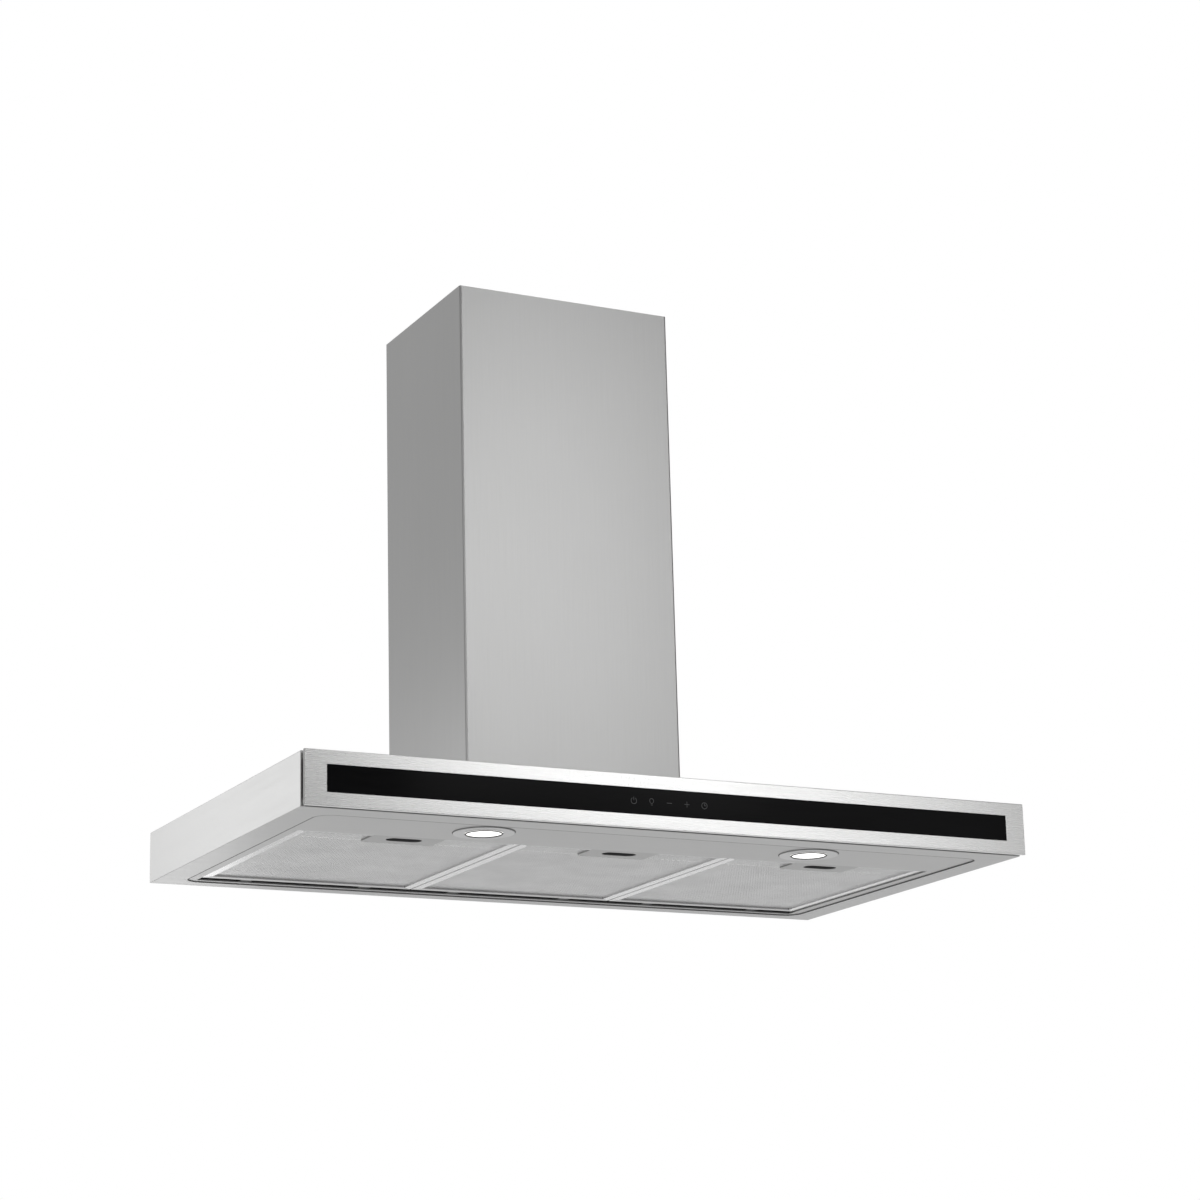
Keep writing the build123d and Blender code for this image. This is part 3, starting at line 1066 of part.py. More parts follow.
# Motor body: rounded can with a front boss, a flange for the bracket and a blind bore
with BuildPart() as motor_body:
    with BuildSketch(Plane.YZ.offset(MOTOR_BACK)):
        with Locations((WHEEL_Y, WHEEL_Z)):
            Circle(MOTOR_RADIUS)
    extrude(amount=MOTOR_LENGTH)
    fillet(motor_body.edges().filter_by(GeomType.CIRCLE), MOTOR_END_ROUND)
    with BuildSketch(Plane.YZ.offset(MOTOR_FRONT)):
        with Locations((WHEEL_Y, WHEEL_Z)):
            Circle(MOTOR_BOSS_RADIUS)
    extrude(amount=MOTOR_BOSS)
    with BuildSketch(Plane.YZ.offset(-SCROLL_HALF - SPIDER)):
        with Locations((WHEEL_Y, WHEEL_Z)):
            Circle(MOTOR_RADIUS + MOTOR_FLANGE)
    extrude(amount=-MOTOR_FLANGE_THICKNESS)
    with BuildSketch(Plane.YZ.offset(MOTOR_BACK + MOTOR_WALL)):
        with Locations((WHEEL_Y, WHEEL_Z)):
            Circle(SHAFT_RADIUS + SHAFT_PLAY)
    extrude(amount=MOTOR_LENGTH + MOTOR_BOSS - MOTOR_WALL, mode=Mode.SUBTRACT)
motor_body.part.label = "motor_body"
export_step(motor_body.part, "parts/motor_body.step")

# Motor bracket: spider across the left inlet
with BuildPart() as motor_bracket:
    with BuildSketch(Plane.YZ.offset(-SCROLL_HALF - SPIDER)):
        with Locations((WHEEL_Y, WHEEL_Z)):
            Circle(SPIDER_INNER + SPIDER_RING)
            Circle(SPIDER_INNER, mode=Mode.SUBTRACT)
            Circle(MOTOR_RADIUS + MOTOR_FLANGE)
            with PolarLocations((MOTOR_RADIUS + SPIDER_INNER + SPIDER_RING / 2) / 2, SPIDER_ARMS):
                Rectangle(SPIDER_INNER + SPIDER_RING / 2 - MOTOR_RADIUS, SPIDER_ARM)
            Circle(MOTOR_RADIUS + MOTOR_PLAY, mode=Mode.SUBTRACT)
            with PolarLocations(SPIDER_SCREW_RADIUS, SPIDER_ARMS):
                Circle(SCREW / 2 + SCREW_PLAY, mode=Mode.SUBTRACT)
    extrude(amount=SPIDER)
motor_bracket.part.label = "motor_bracket"
export_step(motor_bracket.part, "parts/motor_bracket.step")

# Outlet adapter: rectangle of the neck lofted to the round of the collar, with a flange on top
with BuildPart() as outlet_adapter:
    for wall, solid_mode in ((ADAPTER_WALL, Mode.ADD), (0.0, Mode.SUBTRACT)):
        with BuildSketch(Plane.XY.offset(NECK_TOP)):
            with Locations((0, NECK_MIDDLE)):
                Rectangle(2 * (SCROLL_HALF - SCROLL_WALL + wall), NECK_DEPTH + 2 * wall)
        with BuildSketch(Plane.XY.offset(ADAPTER_TOP)):
            with BuildLine():
                for quarter in range(4):
                    CenterArc(COLLAR_CENTRE, COLLAR_INNER + wall, 225 + 90 * quarter, 90)
            make_face()
        loft(mode=solid_mode)
    with BuildSketch(Plane.XY.offset(ADAPTER_TOP)):
        with Locations(COLLAR_CENTRE):
            Circle(COLLAR_FLANGE_RADIUS)
            Circle(COLLAR_INNER, mode=Mode.SUBTRACT)
            with PolarLocations(COLLAR_SCREW_RADIUS, COLLAR_SCREWS, 180 / COLLAR_SCREWS):
                Circle(SCREW / 2 + SCREW_PLAY, mode=Mode.SUBTRACT)
    extrude(amount=ADAPTER_WALL)
outlet_adapter.part.label = "outlet_adapter"
export_step(outlet_adapter.part, "parts/outlet_adapter.step")

# Outlet collar: flange, tube and the ledge that stops the flaps, notched for their pin
with BuildPart() as outlet_collar:
    with BuildSketch(Plane.XY.offset(CASING_TOP)):
        with Locations(COLLAR_CENTRE):
            Circle(COLLAR_FLANGE_RADIUS)
            with PolarLocations(COLLAR_SCREW_RADIUS, COLLAR_SCREWS, 180 / COLLAR_SCREWS):
                Circle(SCREW / 2 + SCREW_PLAY, mode=Mode.SUBTRACT)
    extrude(amount=COLLAR_FLANGE_THICKNESS)
    with BuildSketch(Plane.XY.offset(CASING_TOP)):
        with Locations(COLLAR_CENTRE):
            Circle(COLLAR_RADIUS)
    extrude(amount=COLLAR_HEIGHT)
    with BuildSketch(Plane.XY.offset(CASING_TOP)):
        with Locations(COLLAR_CENTRE):
            Circle(COLLAR_INNER)
    extrude(amount=COLLAR_HEIGHT, mode=Mode.SUBTRACT)
    with BuildSketch(Plane.XY.offset(STOP_TOP - STOP_THICKNESS)):
        with Locations(COLLAR_CENTRE):
            Circle(COLLAR_RADIUS)
            Circle(STOP_RADIUS, mode=Mode.SUBTRACT)
            Rectangle(2 * COLLAR_INNER, 2 * FLAP_START, mode=Mode.SUBTRACT)
    extrude(amount=STOP_THICKNESS)
    with BuildSketch(Plane.YZ.offset(-COLLAR_RADIUS)):
        with Locations((CASING_CENTRE, FLAP_AXIS_Z)):
            Circle(FLAP_PIN_RADIUS + FLAP_PIN_PLAY)
    extrude(amount=2 * COLLAR_RADIUS, mode=Mode.SUBTRACT)
outlet_collar.part.label = "outlet_collar"
export_step(outlet_collar.part, "parts/outlet_collar.step")

# Flap pin across the collar
with BuildPart() as flap_pin:
    with BuildSketch(Plane.YZ.offset(-COLLAR_RADIUS + FLAP_PIN_INSET)):
        with Locations((CASING_CENTRE, FLAP_AXIS_Z)):
            Circle(FLAP_PIN_RADIUS)
    extrude(amount=2 * (COLLAR_RADIUS - FLAP_PIN_INSET))
flap_pin.part.label = "flap_pin"
export_step(flap_pin.part, "parts/flap_pin.step")

# Flaps: half discs on the stop, with knuckles that take turns along the pin
for name, side, first in (("flap_front", -1, 0), ("flap_rear", 1, 1)):
    with BuildPart() as flap:
        with BuildSketch(Plane.XY.offset(STOP_TOP)):
            with Locations(COLLAR_CENTRE):
                Circle(FLAP_RADIUS)
            with Locations((0, CASING_CENTRE + side * (FLAP_START + FLAP_RADIUS / 2))):
                Rectangle(2 * FLAP_RADIUS, FLAP_RADIUS, mode=Mode.INTERSECT)
        extrude(amount=FLAP)
        for knuckle in range(first, KNUCKLES, 2):
            start = -KNUCKLES / 2 * KNUCKLE_PITCH + knuckle * KNUCKLE_PITCH + KNUCKLE_GAP / 2
            with BuildSketch(Plane.YZ.offset(start)):
                with Locations((CASING_CENTRE, FLAP_AXIS_Z)):
                    Circle(KNUCKLE_RADIUS)
                with Locations((CASING_CENTRE + side * FLAP_START / 2, FLAP_AXIS_Z)):
                    Rectangle(FLAP_START, FLAP)
            extrude(amount=KNUCKLE_LENGTH)
            with BuildSketch(Plane.YZ.offset(start)):
                with Locations((CASING_CENTRE, FLAP_AXIS_Z)):
                    Circle(FLAP_PIN_RADIUS + FLAP_PIN_PLAY)
            extrude(amount=KNUCKLE_LENGTH, mode=Mode.SUBTRACT)
    flap.part.label = name
    export_step(flap.part, f"parts/{name}.step")

# Sheet screws of the cover, the collar and the motor bracket, all alike
with BuildPart() as casing_screws:
    for side in (-1, 1):
        for radius, length in ((SCREW_HEAD / 2, SCREW_HEAD_HEIGHT), (SCREW / 2, -SCREW_LENGTH)):
            with BuildSketch(Plane.YZ.offset(side * CASING_HALF)):
                with Locations((COVER_SCREW_Y, CASING_MIDDLE)):
                    with GridLocations(1, COVER_SCREW_PITCH, 1, COVER_SCREW_ROWS):
                        Circle(radius)
            extrude(amount=side * length)
    for radius, length in ((SCREW_HEAD / 2, SCREW_HEAD_HEIGHT), (SCREW / 2, -SCREW_LENGTH)):
        with BuildSketch(Plane.XY.offset(CASING_TOP + COLLAR_FLANGE_THICKNESS)):
            with Locations(COLLAR_CENTRE):
                with PolarLocations(COLLAR_SCREW_RADIUS, COLLAR_SCREWS, 180 / COLLAR_SCREWS):
                    Circle(radius)
        extrude(amount=length)
        with BuildSketch(Plane.YZ.offset(-SCROLL_HALF - SPIDER)):
            with Locations((WHEEL_Y, WHEEL_Z)):
                with PolarLocations(SPIDER_SCREW_RADIUS, SPIDER_ARMS):
                    Circle(radius)
        extrude(amount=-length)
casing_screws.part.label = "casing_screws"
export_step(casing_screws.part, "parts/casing_screws.step")

# Motor capacitor: can hung from the casing top by its stud and nut
with BuildPart() as capacitor:
    with BuildSketch(Plane.XY.offset(CASING_TOP - SHEET)):
        with Locations((CASING_HALF - CAPACITOR_INSET, -CAPACITOR_FROM_WALL)):
            Circle(CAPACITOR_RADIUS)
    extrude(amount=-CAPACITOR_HEIGHT)
    fillet(capacitor.edges().filter_by(GeomType.CIRCLE).sort_by(Axis.Z)[0], CAPACITOR_ROUND)
    with BuildSketch(Plane.XY.offset(CASING_TOP - SHEET)):
        with Locations((CASING_HALF - CAPACITOR_INSET, -CAPACITOR_FROM_WALL)):
            Circle(CAPACITOR_STUD_RADIUS)
    extrude(amount=SHEET + CAPACITOR_STUD)
    with BuildSketch(Plane.XY.offset(CASING_TOP)):
        with Locations((CASING_HALF - CAPACITOR_INSET, -CAPACITOR_FROM_WALL)):
            RegularPolygon(CAPACITOR_NUT_FLATS / 2, 6, major_radius=False)
    extrude(amount=CAPACITOR_NUT)
capacitor.part.label = "capacitor"
export_step(capacitor.part, "parts/capacitor.step")

# Cable gland: hexagon base and domed cap with a bore for the mains cable
with BuildPart() as cable_gland:
    with BuildSketch(Plane.XY.offset(CASING_TOP)):
        with Locations((-CASING_HALF + GLAND_INSET, CASING_FRONT + GLAND_FROM_FRONT)):
            RegularPolygon(GLAND_FLATS / 2, 6, major_radius=False)
    extrude(amount=GLAND_BASE)
    with BuildSketch(Plane.XY.offset(CASING_TOP)):
        with Locations((-CASING_HALF + GLAND_INSET, CASING_FRONT + GLAND_FROM_FRONT)):
            Circle(GLAND_CAP_RADIUS)
    extrude(amount=GLAND_HEIGHT)
    fillet(cable_gland.edges().filter_by(GeomType.CIRCLE).sort_by(Axis.Z)[-1], GLAND_ROUND)
    with BuildSketch(Plane.XY.offset(CASING_TOP)):
        with Locations((-CASING_HALF + GLAND_INSET, CASING_FRONT + GLAND_FROM_FRONT)):
            Circle(GLAND_BORE_RADIUS)
    extrude(amount=GLAND_HEIGHT, mode=Mode.SUBTRACT)
cable_gland.part.label = "cable_gland"
export_step(cable_gland.part, "parts/cable_gland.step")

# Power box: tray under the canopy top, open below, with posts for its board
with BuildPart() as power_box:
    with BuildSketch(Plane.XY.offset(BOX_TOP)):
        with Locations((BOX_X, BOX_Y)):
            RectangleRounded(BOX_LENGTH, BOX_DEPTH, BOX_CORNER)
    extrude(amount=-BOX_HEIGHT)
    with BuildSketch(Plane.XY.offset(BOX_BOTTOM)):
        with Locations((BOX_X, BOX_Y)):
            Rectangle(BOX_LENGTH - 2 * BOX_WALL, BOX_DEPTH - 2 * BOX_WALL)
    extrude(amount=BOX_HEIGHT - BOX_WALL, mode=Mode.SUBTRACT)
    with BuildSketch(Plane.XY.offset(BOX_TOP - BOX_WALL)):
        with Locations((BOX_X, BOX_Y)):
            with GridLocations(
                BOX_LENGTH - 2 * (BOX_WALL + BOX_POST_INSET),
                BOX_DEPTH - 2 * (BOX_WALL + BOX_POST_INSET),
                2,
                2,
            ):
                Circle(BOX_POST_RADIUS)
    extrude(amount=-BOX_POST)
power_box.part.label = "power_box"
export_step(power_box.part, "parts/power_box.step")

# Power box lid with a lip inside the tray
with BuildPart() as power_box_lid:
    with BuildSketch(Plane.XY.offset(BOX_BOTTOM)):
        with Locations((BOX_X, BOX_Y)):
            RectangleRounded(BOX_LENGTH, BOX_DEPTH, BOX_CORNER)
    extrude(amount=-BOX_WALL)
    with BuildSketch(Plane.XY.offset(BOX_BOTTOM)):
        with Locations((BOX_X, BOX_Y)):
            Rectangle(
                BOX_LENGTH - 2 * (BOX_WALL + BOX_LID_PLAY),
                BOX_DEPTH - 2 * (BOX_WALL + BOX_LID_PLAY),
            )
            Rectangle(
                BOX_LENGTH - 2 * (2 * BOX_WALL + BOX_LID_PLAY),
                BOX_DEPTH - 2 * (2 * BOX_WALL + BOX_LID_PLAY),
                mode=Mode.SUBTRACT,
            )
    extrude(amount=BOX_LID_LIP)
power_box_lid.part.label = "power_box_lid"
export_step(power_box_lid.part, "parts/power_box_lid.step")

# Power board on the posts, with its transformer and relays
with BuildPart() as power_board:
    with BuildSketch(Plane.XY.offset(POWER_BOARD_TOP)):
        with Locations((BOX_X, BOX_Y)):
            Rectangle(
                BOX_LENGTH - 2 * (BOX_WALL + BOX_BOARD_PLAY),
                BOX_DEPTH - 2 * (BOX_WALL + BOX_BOARD_PLAY),
            )
    extrude(amount=-BOARD)
    with BuildSketch(Plane.XY.offset(POWER_BOARD_TOP - BOARD)):
        with Locations((BOX_X - TRANSFORMER_LENGTH, BOX_Y)):
            Rectangle(TRANSFORMER_LENGTH, TRANSFORMER_WIDTH)
    extrude(amount=-TRANSFORMER_HEIGHT)
    with BuildSketch(Plane.XY.offset(POWER_BOARD_TOP - BOARD)):
        with Locations((BOX_X + TRANSFORMER_LENGTH, BOX_Y)):
            with GridLocations(1, RELAY_PITCH, 1, RELAYS):
                Rectangle(RELAY_LENGTH, RELAY_WIDTH)
    extrude(amount=-RELAY_HEIGHT)
power_board.part.label = "power_board"
export_step(power_board.part, "parts/power_board.step")
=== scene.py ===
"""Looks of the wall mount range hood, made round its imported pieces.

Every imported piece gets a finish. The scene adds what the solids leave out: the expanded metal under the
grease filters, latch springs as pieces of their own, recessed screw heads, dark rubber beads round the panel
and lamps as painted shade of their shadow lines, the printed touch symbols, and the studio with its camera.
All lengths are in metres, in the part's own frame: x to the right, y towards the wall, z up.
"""

import json
import logging
import math
from dataclasses import dataclass
from enum import Enum

import bmesh
import bpy
from mathutils import Matrix, Vector


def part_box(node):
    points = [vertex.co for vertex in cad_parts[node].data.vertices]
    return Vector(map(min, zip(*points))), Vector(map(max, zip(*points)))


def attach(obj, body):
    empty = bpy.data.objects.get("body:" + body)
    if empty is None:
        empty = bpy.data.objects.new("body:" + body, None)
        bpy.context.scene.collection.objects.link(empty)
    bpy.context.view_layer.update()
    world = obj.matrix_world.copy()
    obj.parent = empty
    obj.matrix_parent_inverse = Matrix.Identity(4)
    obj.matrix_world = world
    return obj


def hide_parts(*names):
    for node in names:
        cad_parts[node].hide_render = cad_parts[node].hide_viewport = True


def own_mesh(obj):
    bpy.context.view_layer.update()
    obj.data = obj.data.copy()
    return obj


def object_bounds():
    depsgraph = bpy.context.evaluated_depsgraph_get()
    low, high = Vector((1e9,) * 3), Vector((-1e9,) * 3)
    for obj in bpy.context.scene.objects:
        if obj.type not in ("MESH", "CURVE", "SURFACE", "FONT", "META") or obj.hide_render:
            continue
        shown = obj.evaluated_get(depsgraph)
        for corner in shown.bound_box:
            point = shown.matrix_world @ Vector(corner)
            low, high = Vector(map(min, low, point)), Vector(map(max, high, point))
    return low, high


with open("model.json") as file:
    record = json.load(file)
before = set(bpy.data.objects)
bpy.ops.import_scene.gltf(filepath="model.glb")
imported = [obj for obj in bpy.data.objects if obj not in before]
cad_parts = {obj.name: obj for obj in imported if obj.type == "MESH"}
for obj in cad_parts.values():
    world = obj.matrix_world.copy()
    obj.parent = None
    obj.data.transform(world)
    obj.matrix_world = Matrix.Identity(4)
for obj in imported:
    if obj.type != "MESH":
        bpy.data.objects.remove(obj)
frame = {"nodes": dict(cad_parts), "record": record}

LOG = logging.getLogger("range_hood")
CAD_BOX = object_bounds()
HOOD = "hood"

Pair = tuple[float, float]
Triple = tuple[float, float, float]
Socket = bpy.types.NodeSocket
Value = Socket | float | tuple[float, ...]
Material = bpy.types.Material
BMesh = bmesh.types.BMesh

WHITE = (1.0, 1.0, 1.0, 1.0)
NOISE_SPAN = (0.3, 0.7)
FULL_SPAN = (0.0, 1.0)
FULL_TURN = 360.0
UPRIGHT = 90.0
ROUND_PROFILE = 0.5
KEEP_MATERIAL = -1
MERGE_DISTANCE = 1e-6
HALF = 0.5
AXES = range(3)


class Grain(Enum):
    """Direction in which a sheet was brushed."""

    ALONG_X = 0
    ALONG_Y = 1
    ALONG_Z = 2


class Side(Enum):
    """Filters, latches and lamps, as seen from the front."""

    LEFT = "left"
    CENTRE = "centre"
    RIGHT = "right"


class MixKind(Enum):
    """What a mix node blends, with the ending of its sockets."""

    FLOAT = "Float"
    RGBA = "Color"


class Wiring:
    """Node tree, with short ways to add nodes and links."""

    def __init__(self, tree: bpy.types.NodeTree) -> None:
        """Take the node tree of a material or a world."""
        self.nodes = tree.nodes
        self.links = tree.links

    def fill(self, socket: Socket, value: Value) -> None:
        """Link a socket to an output, or set its value.

        Args:
            socket: the input that is filled.
            value: an output, a number or a colour.
        """
        if isinstance(value, Socket):
            self.links.new(value, socket)
        else:
            socket.default_value = value

    def feed(self, node: bpy.types.Node, **inputs: Value) -> None:
        """Fill inputs of a node, named with underscores for the spaces."""
        for name, value in inputs.items():
            self.fill(node.inputs[name.replace("_", " ")], value)

    def node(self, kind: str, **inputs: Value) -> bpy.types.Node:
        """Add a node.

        Args:
            kind: its type, without the prefix of all shader nodes.
            inputs: what its inputs get.

        Returns:
            The new node.
        """
        node = self.nodes.new(f"ShaderNode{kind}")
        self.feed(node, **inputs)
        return node

    def axes(self, vector: Socket) -> tuple[Socket, Socket, Socket]:
        """Split a vector into its x, y and z."""
        outputs = self.node("SeparateXYZ", Vector=vector).outputs
        return outputs["X"], outputs["Y"], outputs["Z"]

    def maths(self, operation: str, first: Value, second: Value = 0.0) -> Socket:
        """Arithmetic on sockets or numbers.

        Args:
            operation: name of the operation, such as MULTIPLY.
            first: a socket or a number.
            second: a socket or a number.

        Returns:
            The result.
        """
        node = self.node("Math")
        node.operation = operation
        for socket, value in zip(node.inputs, (first, second)):
            self.fill(socket, value)
        return node.outputs[0]

    def blend(self, first: Socket, second: Socket, share: float) -> Socket:
        """Mean of two values, in which the second has the given share."""
        main = self.maths("MULTIPLY", first, 1.0 - share)
        return self.maths("ADD", main, self.maths("MULTIPLY", second, share))

    def choose(self, mask: Socket, plain: float, masked: float) -> Socket:
        """Give the plain number where a mask is 0, and the masked one where it is 1."""
        return self.maths("ADD", self.maths("MULTIPLY", mask, masked - plain), plain)

    def spread(self, value: Socket, low: float, high: float, span: Pair = NOISE_SPAN) -> Socket:
        """Map a value to a range.

        Args:
            value: the value.
            low: result at the start of the span and below.
            high: result at the end of the span and above.
            span: start and end of the values that are used.

        Returns:
            The mapped value.
        """
        start, end = span
        node = self.node("MapRange", Value=value, From_Min=start, From_Max=end, To_Min=low, To_Max=high)
        return node.outputs["Result"]


class Graph(Wiring):
    """Shader graph of one material, round its principled shader."""

    def __init__(self, name: str) -> None:
        """Start a material that reads object coordinates.

        Args:
            name: name of the material.
        """
        self.material = bpy.data.materials.new(name)
        self.material.use_nodes = True
        super().__init__(self.material.node_tree)
        self.shader = self.nodes["Principled BSDF"]
        self.coordinates = self.node("TexCoord")

    def surface(self, **values: Value) -> None:
        """Fill sockets of the shader, named with underscores for the spaces."""
        self.feed(self.shader, **values)

    def mapped(self, scale: Triple = (1.0, 1.0, 1.0), place: Triple = (0.0, 0.0, 0.0)) -> Socket:
        """Scale the object coordinates.

        Args:
            scale: factor on each axis.
            place: point of the part that becomes the pattern's origin.

        Returns:
            The scaled vector.
        """
        shift = tuple(-point * factor for point, factor in zip(place, scale))
        node = self.node("Mapping", Vector=self.coordinates.outputs["Object"], Location=shift, Scale=scale)
        return node.outputs["Vector"]

    def noise(self, vector: Socket, scale: float = 1.0, detail: float = 2.0, rough: float = 0.5) -> Socket:
        """Noise of about 0.5 on a vector: its frequency, finer octaves and their weight."""
        node = self.node("TexNoise", Vector=vector, Scale=scale, Detail=detail, Roughness=rough)
        return node.outputs["Fac"]

    def dome(self, radius: float, place: Triple = (0.0, 0.0, 0.0)) -> Socket:
        """Value that falls from 1 on an upright axis to 0 at a distance from it.

        Args:
            radius: the distance.
            place: point of the axis.

        Returns:
            The value.
        """
        reach = 1.0 / radius
        node = self.node("TexGradient", Vector=self.mapped((reach, reach, 0.0), place))
        node.gradient_type = "SPHERICAL"
        return node.outputs["Fac"]

    def mix(self, kind: MixKind, factor: Socket, first: Value, second: Value) -> Socket:
        """Blend two numbers or two colours.

        Args:
            kind: what is blended.
            factor: 0 gives the first and 1 the second.
            first: a socket or a value.
            second: a socket or a value.

        Returns:
            The blend.
        """
        node = self.node("Mix")
        node.data_type = kind.name
        inputs = {socket.identifier: socket for socket in node.inputs}
        self.fill(inputs["Factor_Float"], factor)
        self.fill(inputs[f"A_{kind.value}"], first)
        self.fill(inputs[f"B_{kind.value}"], second)
        return next(socket for socket in node.outputs if socket.identifier == f"Result_{kind.value}")

    def tint(self, factor: Socket, low: Triple, high: Triple) -> Socket:
        """Blend two linear colours by a factor from 0 to 1."""
        return self.mix(MixKind.RGBA, factor, (*low, 1.0), (*high, 1.0))

    def shaded(self, factor: Socket, colour: Triple, shades: Pair) -> Socket:
        """Blend two shades of a linear colour, held at white, by a factor from 0 to 1."""
        low, high = (tuple(min(1.0, part * shade) for part in colour) for shade in shades)
        return self.tint(factor, low, high)

    def scaled(self, colour: Socket, factor: Socket) -> Socket:
        """Multiply a colour by a value.

        Args:
            colour: the colour.
            factor: the value.

        Returns:
            The product.
        """
        node = self.node("VectorMath")
        node.operation = "SCALE"
        self.feed(node, Vector=colour, Scale=factor)
        return node.outputs[0]

    def bump(self, height: Socket, strength: float, depth: float) -> None:
        """Put a relief from 0 to 1 on the shader, with its strength and depth."""
        node = self.node("Bump", Height=height, Strength=strength, Distance=depth)
        self.surface(Normal=node.outputs["Normal"])


def neutral(tone: float) -> Triple:
    """Grey of one tone."""
    return (tone, tone, tone)


@dataclass(frozen=True)
class Finish:
    """Finish of a piece, which makes its material from a few values."""

    name: str

    def paint(self, graph: Graph) -> None:
        """Wire the material's shader."""
        raise NotImplementedError

    def material(self) -> Material:
        """Make the material.

        Returns:
            The new material.
        """
        graph = Graph(self.name)
        self.paint(graph)
        return graph.material


@dataclass(frozen=True)
class BrushedSteel(Finish):
    """Brushed stainless sheet: fine hairlines along the grain over slow tone changes, sides in painted light
    or shade.
    """

    tone: float
    roughness: float = 0.34
    grain: Grain = Grain.ALONG_X
    side_grain: Grain | None = None
    contrast: float = 0.10
    fine_across: float = 1800.0
    fine_along: float = 14.0
    broad_across: float = 300.0
    broad_along: float = 3.5
    broad_share: float = 0.4
    cloud_scale: float = 3.2
    cloud_share: float = 0.3
    side_limit: float = 0.7
    # factor on the colour of the faces that point left or right: painted light above 1, painted shade below
    # 1
    painted_side_light: float = 1.0
    sheen: float = 0.06
    relief: float = 0.12
    relief_depth: float = 0.0002
    warmth: float = 0.995

    def streaks(self, graph: Graph, grain: Grain) -> Socket:
        """Hairlines along one direction, in two widths.

        Args:
            graph: the material's graph.
            grain: direction of the hairlines.

        Returns:
            The streak value.
        """
        fine = [self.fine_across for _ in AXES]
        broad = [self.broad_across for _ in AXES]
        fine[grain.value] = self.fine_along
        broad[grain.value] = self.broad_along
        thin = graph.noise(graph.mapped(tuple(fine)), detail=3.0, rough=0.65)
        wide = graph.noise(graph.mapped(tuple(broad)))
        return graph.blend(thin, wide, self.broad_share)

    def paint(self, graph: Graph) -> None:
        """Brush the sheet and its left and right sides along their own grain, and scale the sides' colour as
        painted light or shade.

        Args:
            graph: the material's graph.
        """
        streak = self.streaks(graph, self.grain)
        across, _, _ = graph.axes(graph.coordinates.outputs["Normal"])
        side = graph.maths("GREATER_THAN", graph.maths("ABSOLUTE", across), self.side_limit)
        if self.side_grain is not None:
            streak = graph.mix(MixKind.FLOAT, side, streak, self.streaks(graph, self.side_grain))
        cloud = graph.noise(graph.mapped(), self.cloud_scale, detail=3.0)
        level = graph.spread(graph.blend(streak, cloud, self.cloud_share), *FULL_SPAN)
        steel = (self.tone, self.tone, self.tone * self.warmth)
        toned = graph.shaded(level, steel, (1 - self.contrast, 1 + self.contrast / 2))
        graph.bump(streak, self.relief, self.relief_depth)
        graph.surface(
            # painted light or shade on the left and right faces, scaled by painted_side_light
            Base_Color=graph.scaled(toned, graph.choose(side, 1.0, self.painted_side_light)),
            Roughness=graph.spread(streak, self.roughness - self.sheen, self.roughness + self.sheen),
            Metallic=1.0,
        )


@dataclass(frozen=True)
class MitredFrame(Finish):
    """Filter rails: bright sides, duller ends in painted shade, seams across the mitred corners, rear tabs
    in painted shade.
    """

    centre: Pair
    half_width: float
    half_length: float
    tone: float = 0.74
    # darker tone of the front and rear rails: painted shade for their duller reflection
    painted_shade_end_tone: float = 0.60
    roughness: float = 0.26
    end_roughness: float = 0.42
    smoother: float = 0.03
    rougher: float = 0.04
    seam: float = 0.0005
    seam_shade: float = 0.55
    # painted shade on the rear tabs, which sit in the dark gap behind the filter
    tab_painted_shade: float = 0.75
    brushing: Triple = (900.0, 12.0, 900.0)
    wear: Pair = (0.95, 1.03)
    relief: float = 0.10
    relief_depth: float = 0.0002

    def paint(self, graph: Graph) -> None:
        """Brush the rails, darken their seams, and paint shade on their ends and rear tabs.

        Args:
            graph: the material's graph.
        """
        across, along, _ = graph.axes(graph.mapped(place=(*self.centre, 0.0)))
        from_side = graph.maths("SUBTRACT", self.half_width, graph.maths("ABSOLUTE", across))
        from_end = graph.maths("SUBTRACT", self.half_length, graph.maths("ABSOLUTE", along))
        end = graph.maths("GREATER_THAN", from_side, from_end)
        apart = graph.maths("ABSOLUTE", graph.maths("SUBTRACT", from_side, from_end))
        seam = graph.maths("LESS_THAN", apart, self.seam)
        # the rear tabs reach past the rails' ends and get painted shade
        tab = graph.maths("LESS_THAN", from_end, -self.seam)
        seam_loss = graph.maths("MULTIPLY", seam, self.seam_shade)
        loss = graph.maths("MAXIMUM", seam_loss, graph.maths("MULTIPLY", tab, self.tab_painted_shade))
        brush = graph.noise(graph.mapped(self.brushing), detail=3.0, rough=0.6)
        # painted shade: the front and rear rails take the darker end tone
        grey = graph.choose(end, self.tone, self.painted_shade_end_tone)
        grain_and_painted_shade = graph.maths("MULTIPLY", grey, graph.spread(brush, *self.wear))
        gloss = graph.spread(brush, self.roughness - self.smoother, self.roughness + self.rougher)
        dull = graph.maths("MULTIPLY", end, self.end_roughness - self.roughness)
        graph.bump(graph.maths("SUBTRACT", brush, seam), self.relief, self.relief_depth)
        graph.surface(
            Base_Color=graph.maths("MULTIPLY", grain_and_painted_shade, graph.maths("SUBTRACT", 1.0, loss)),
            Roughness=graph.maths("ADD", dull, gloss),
            Metallic=1.0,
        )


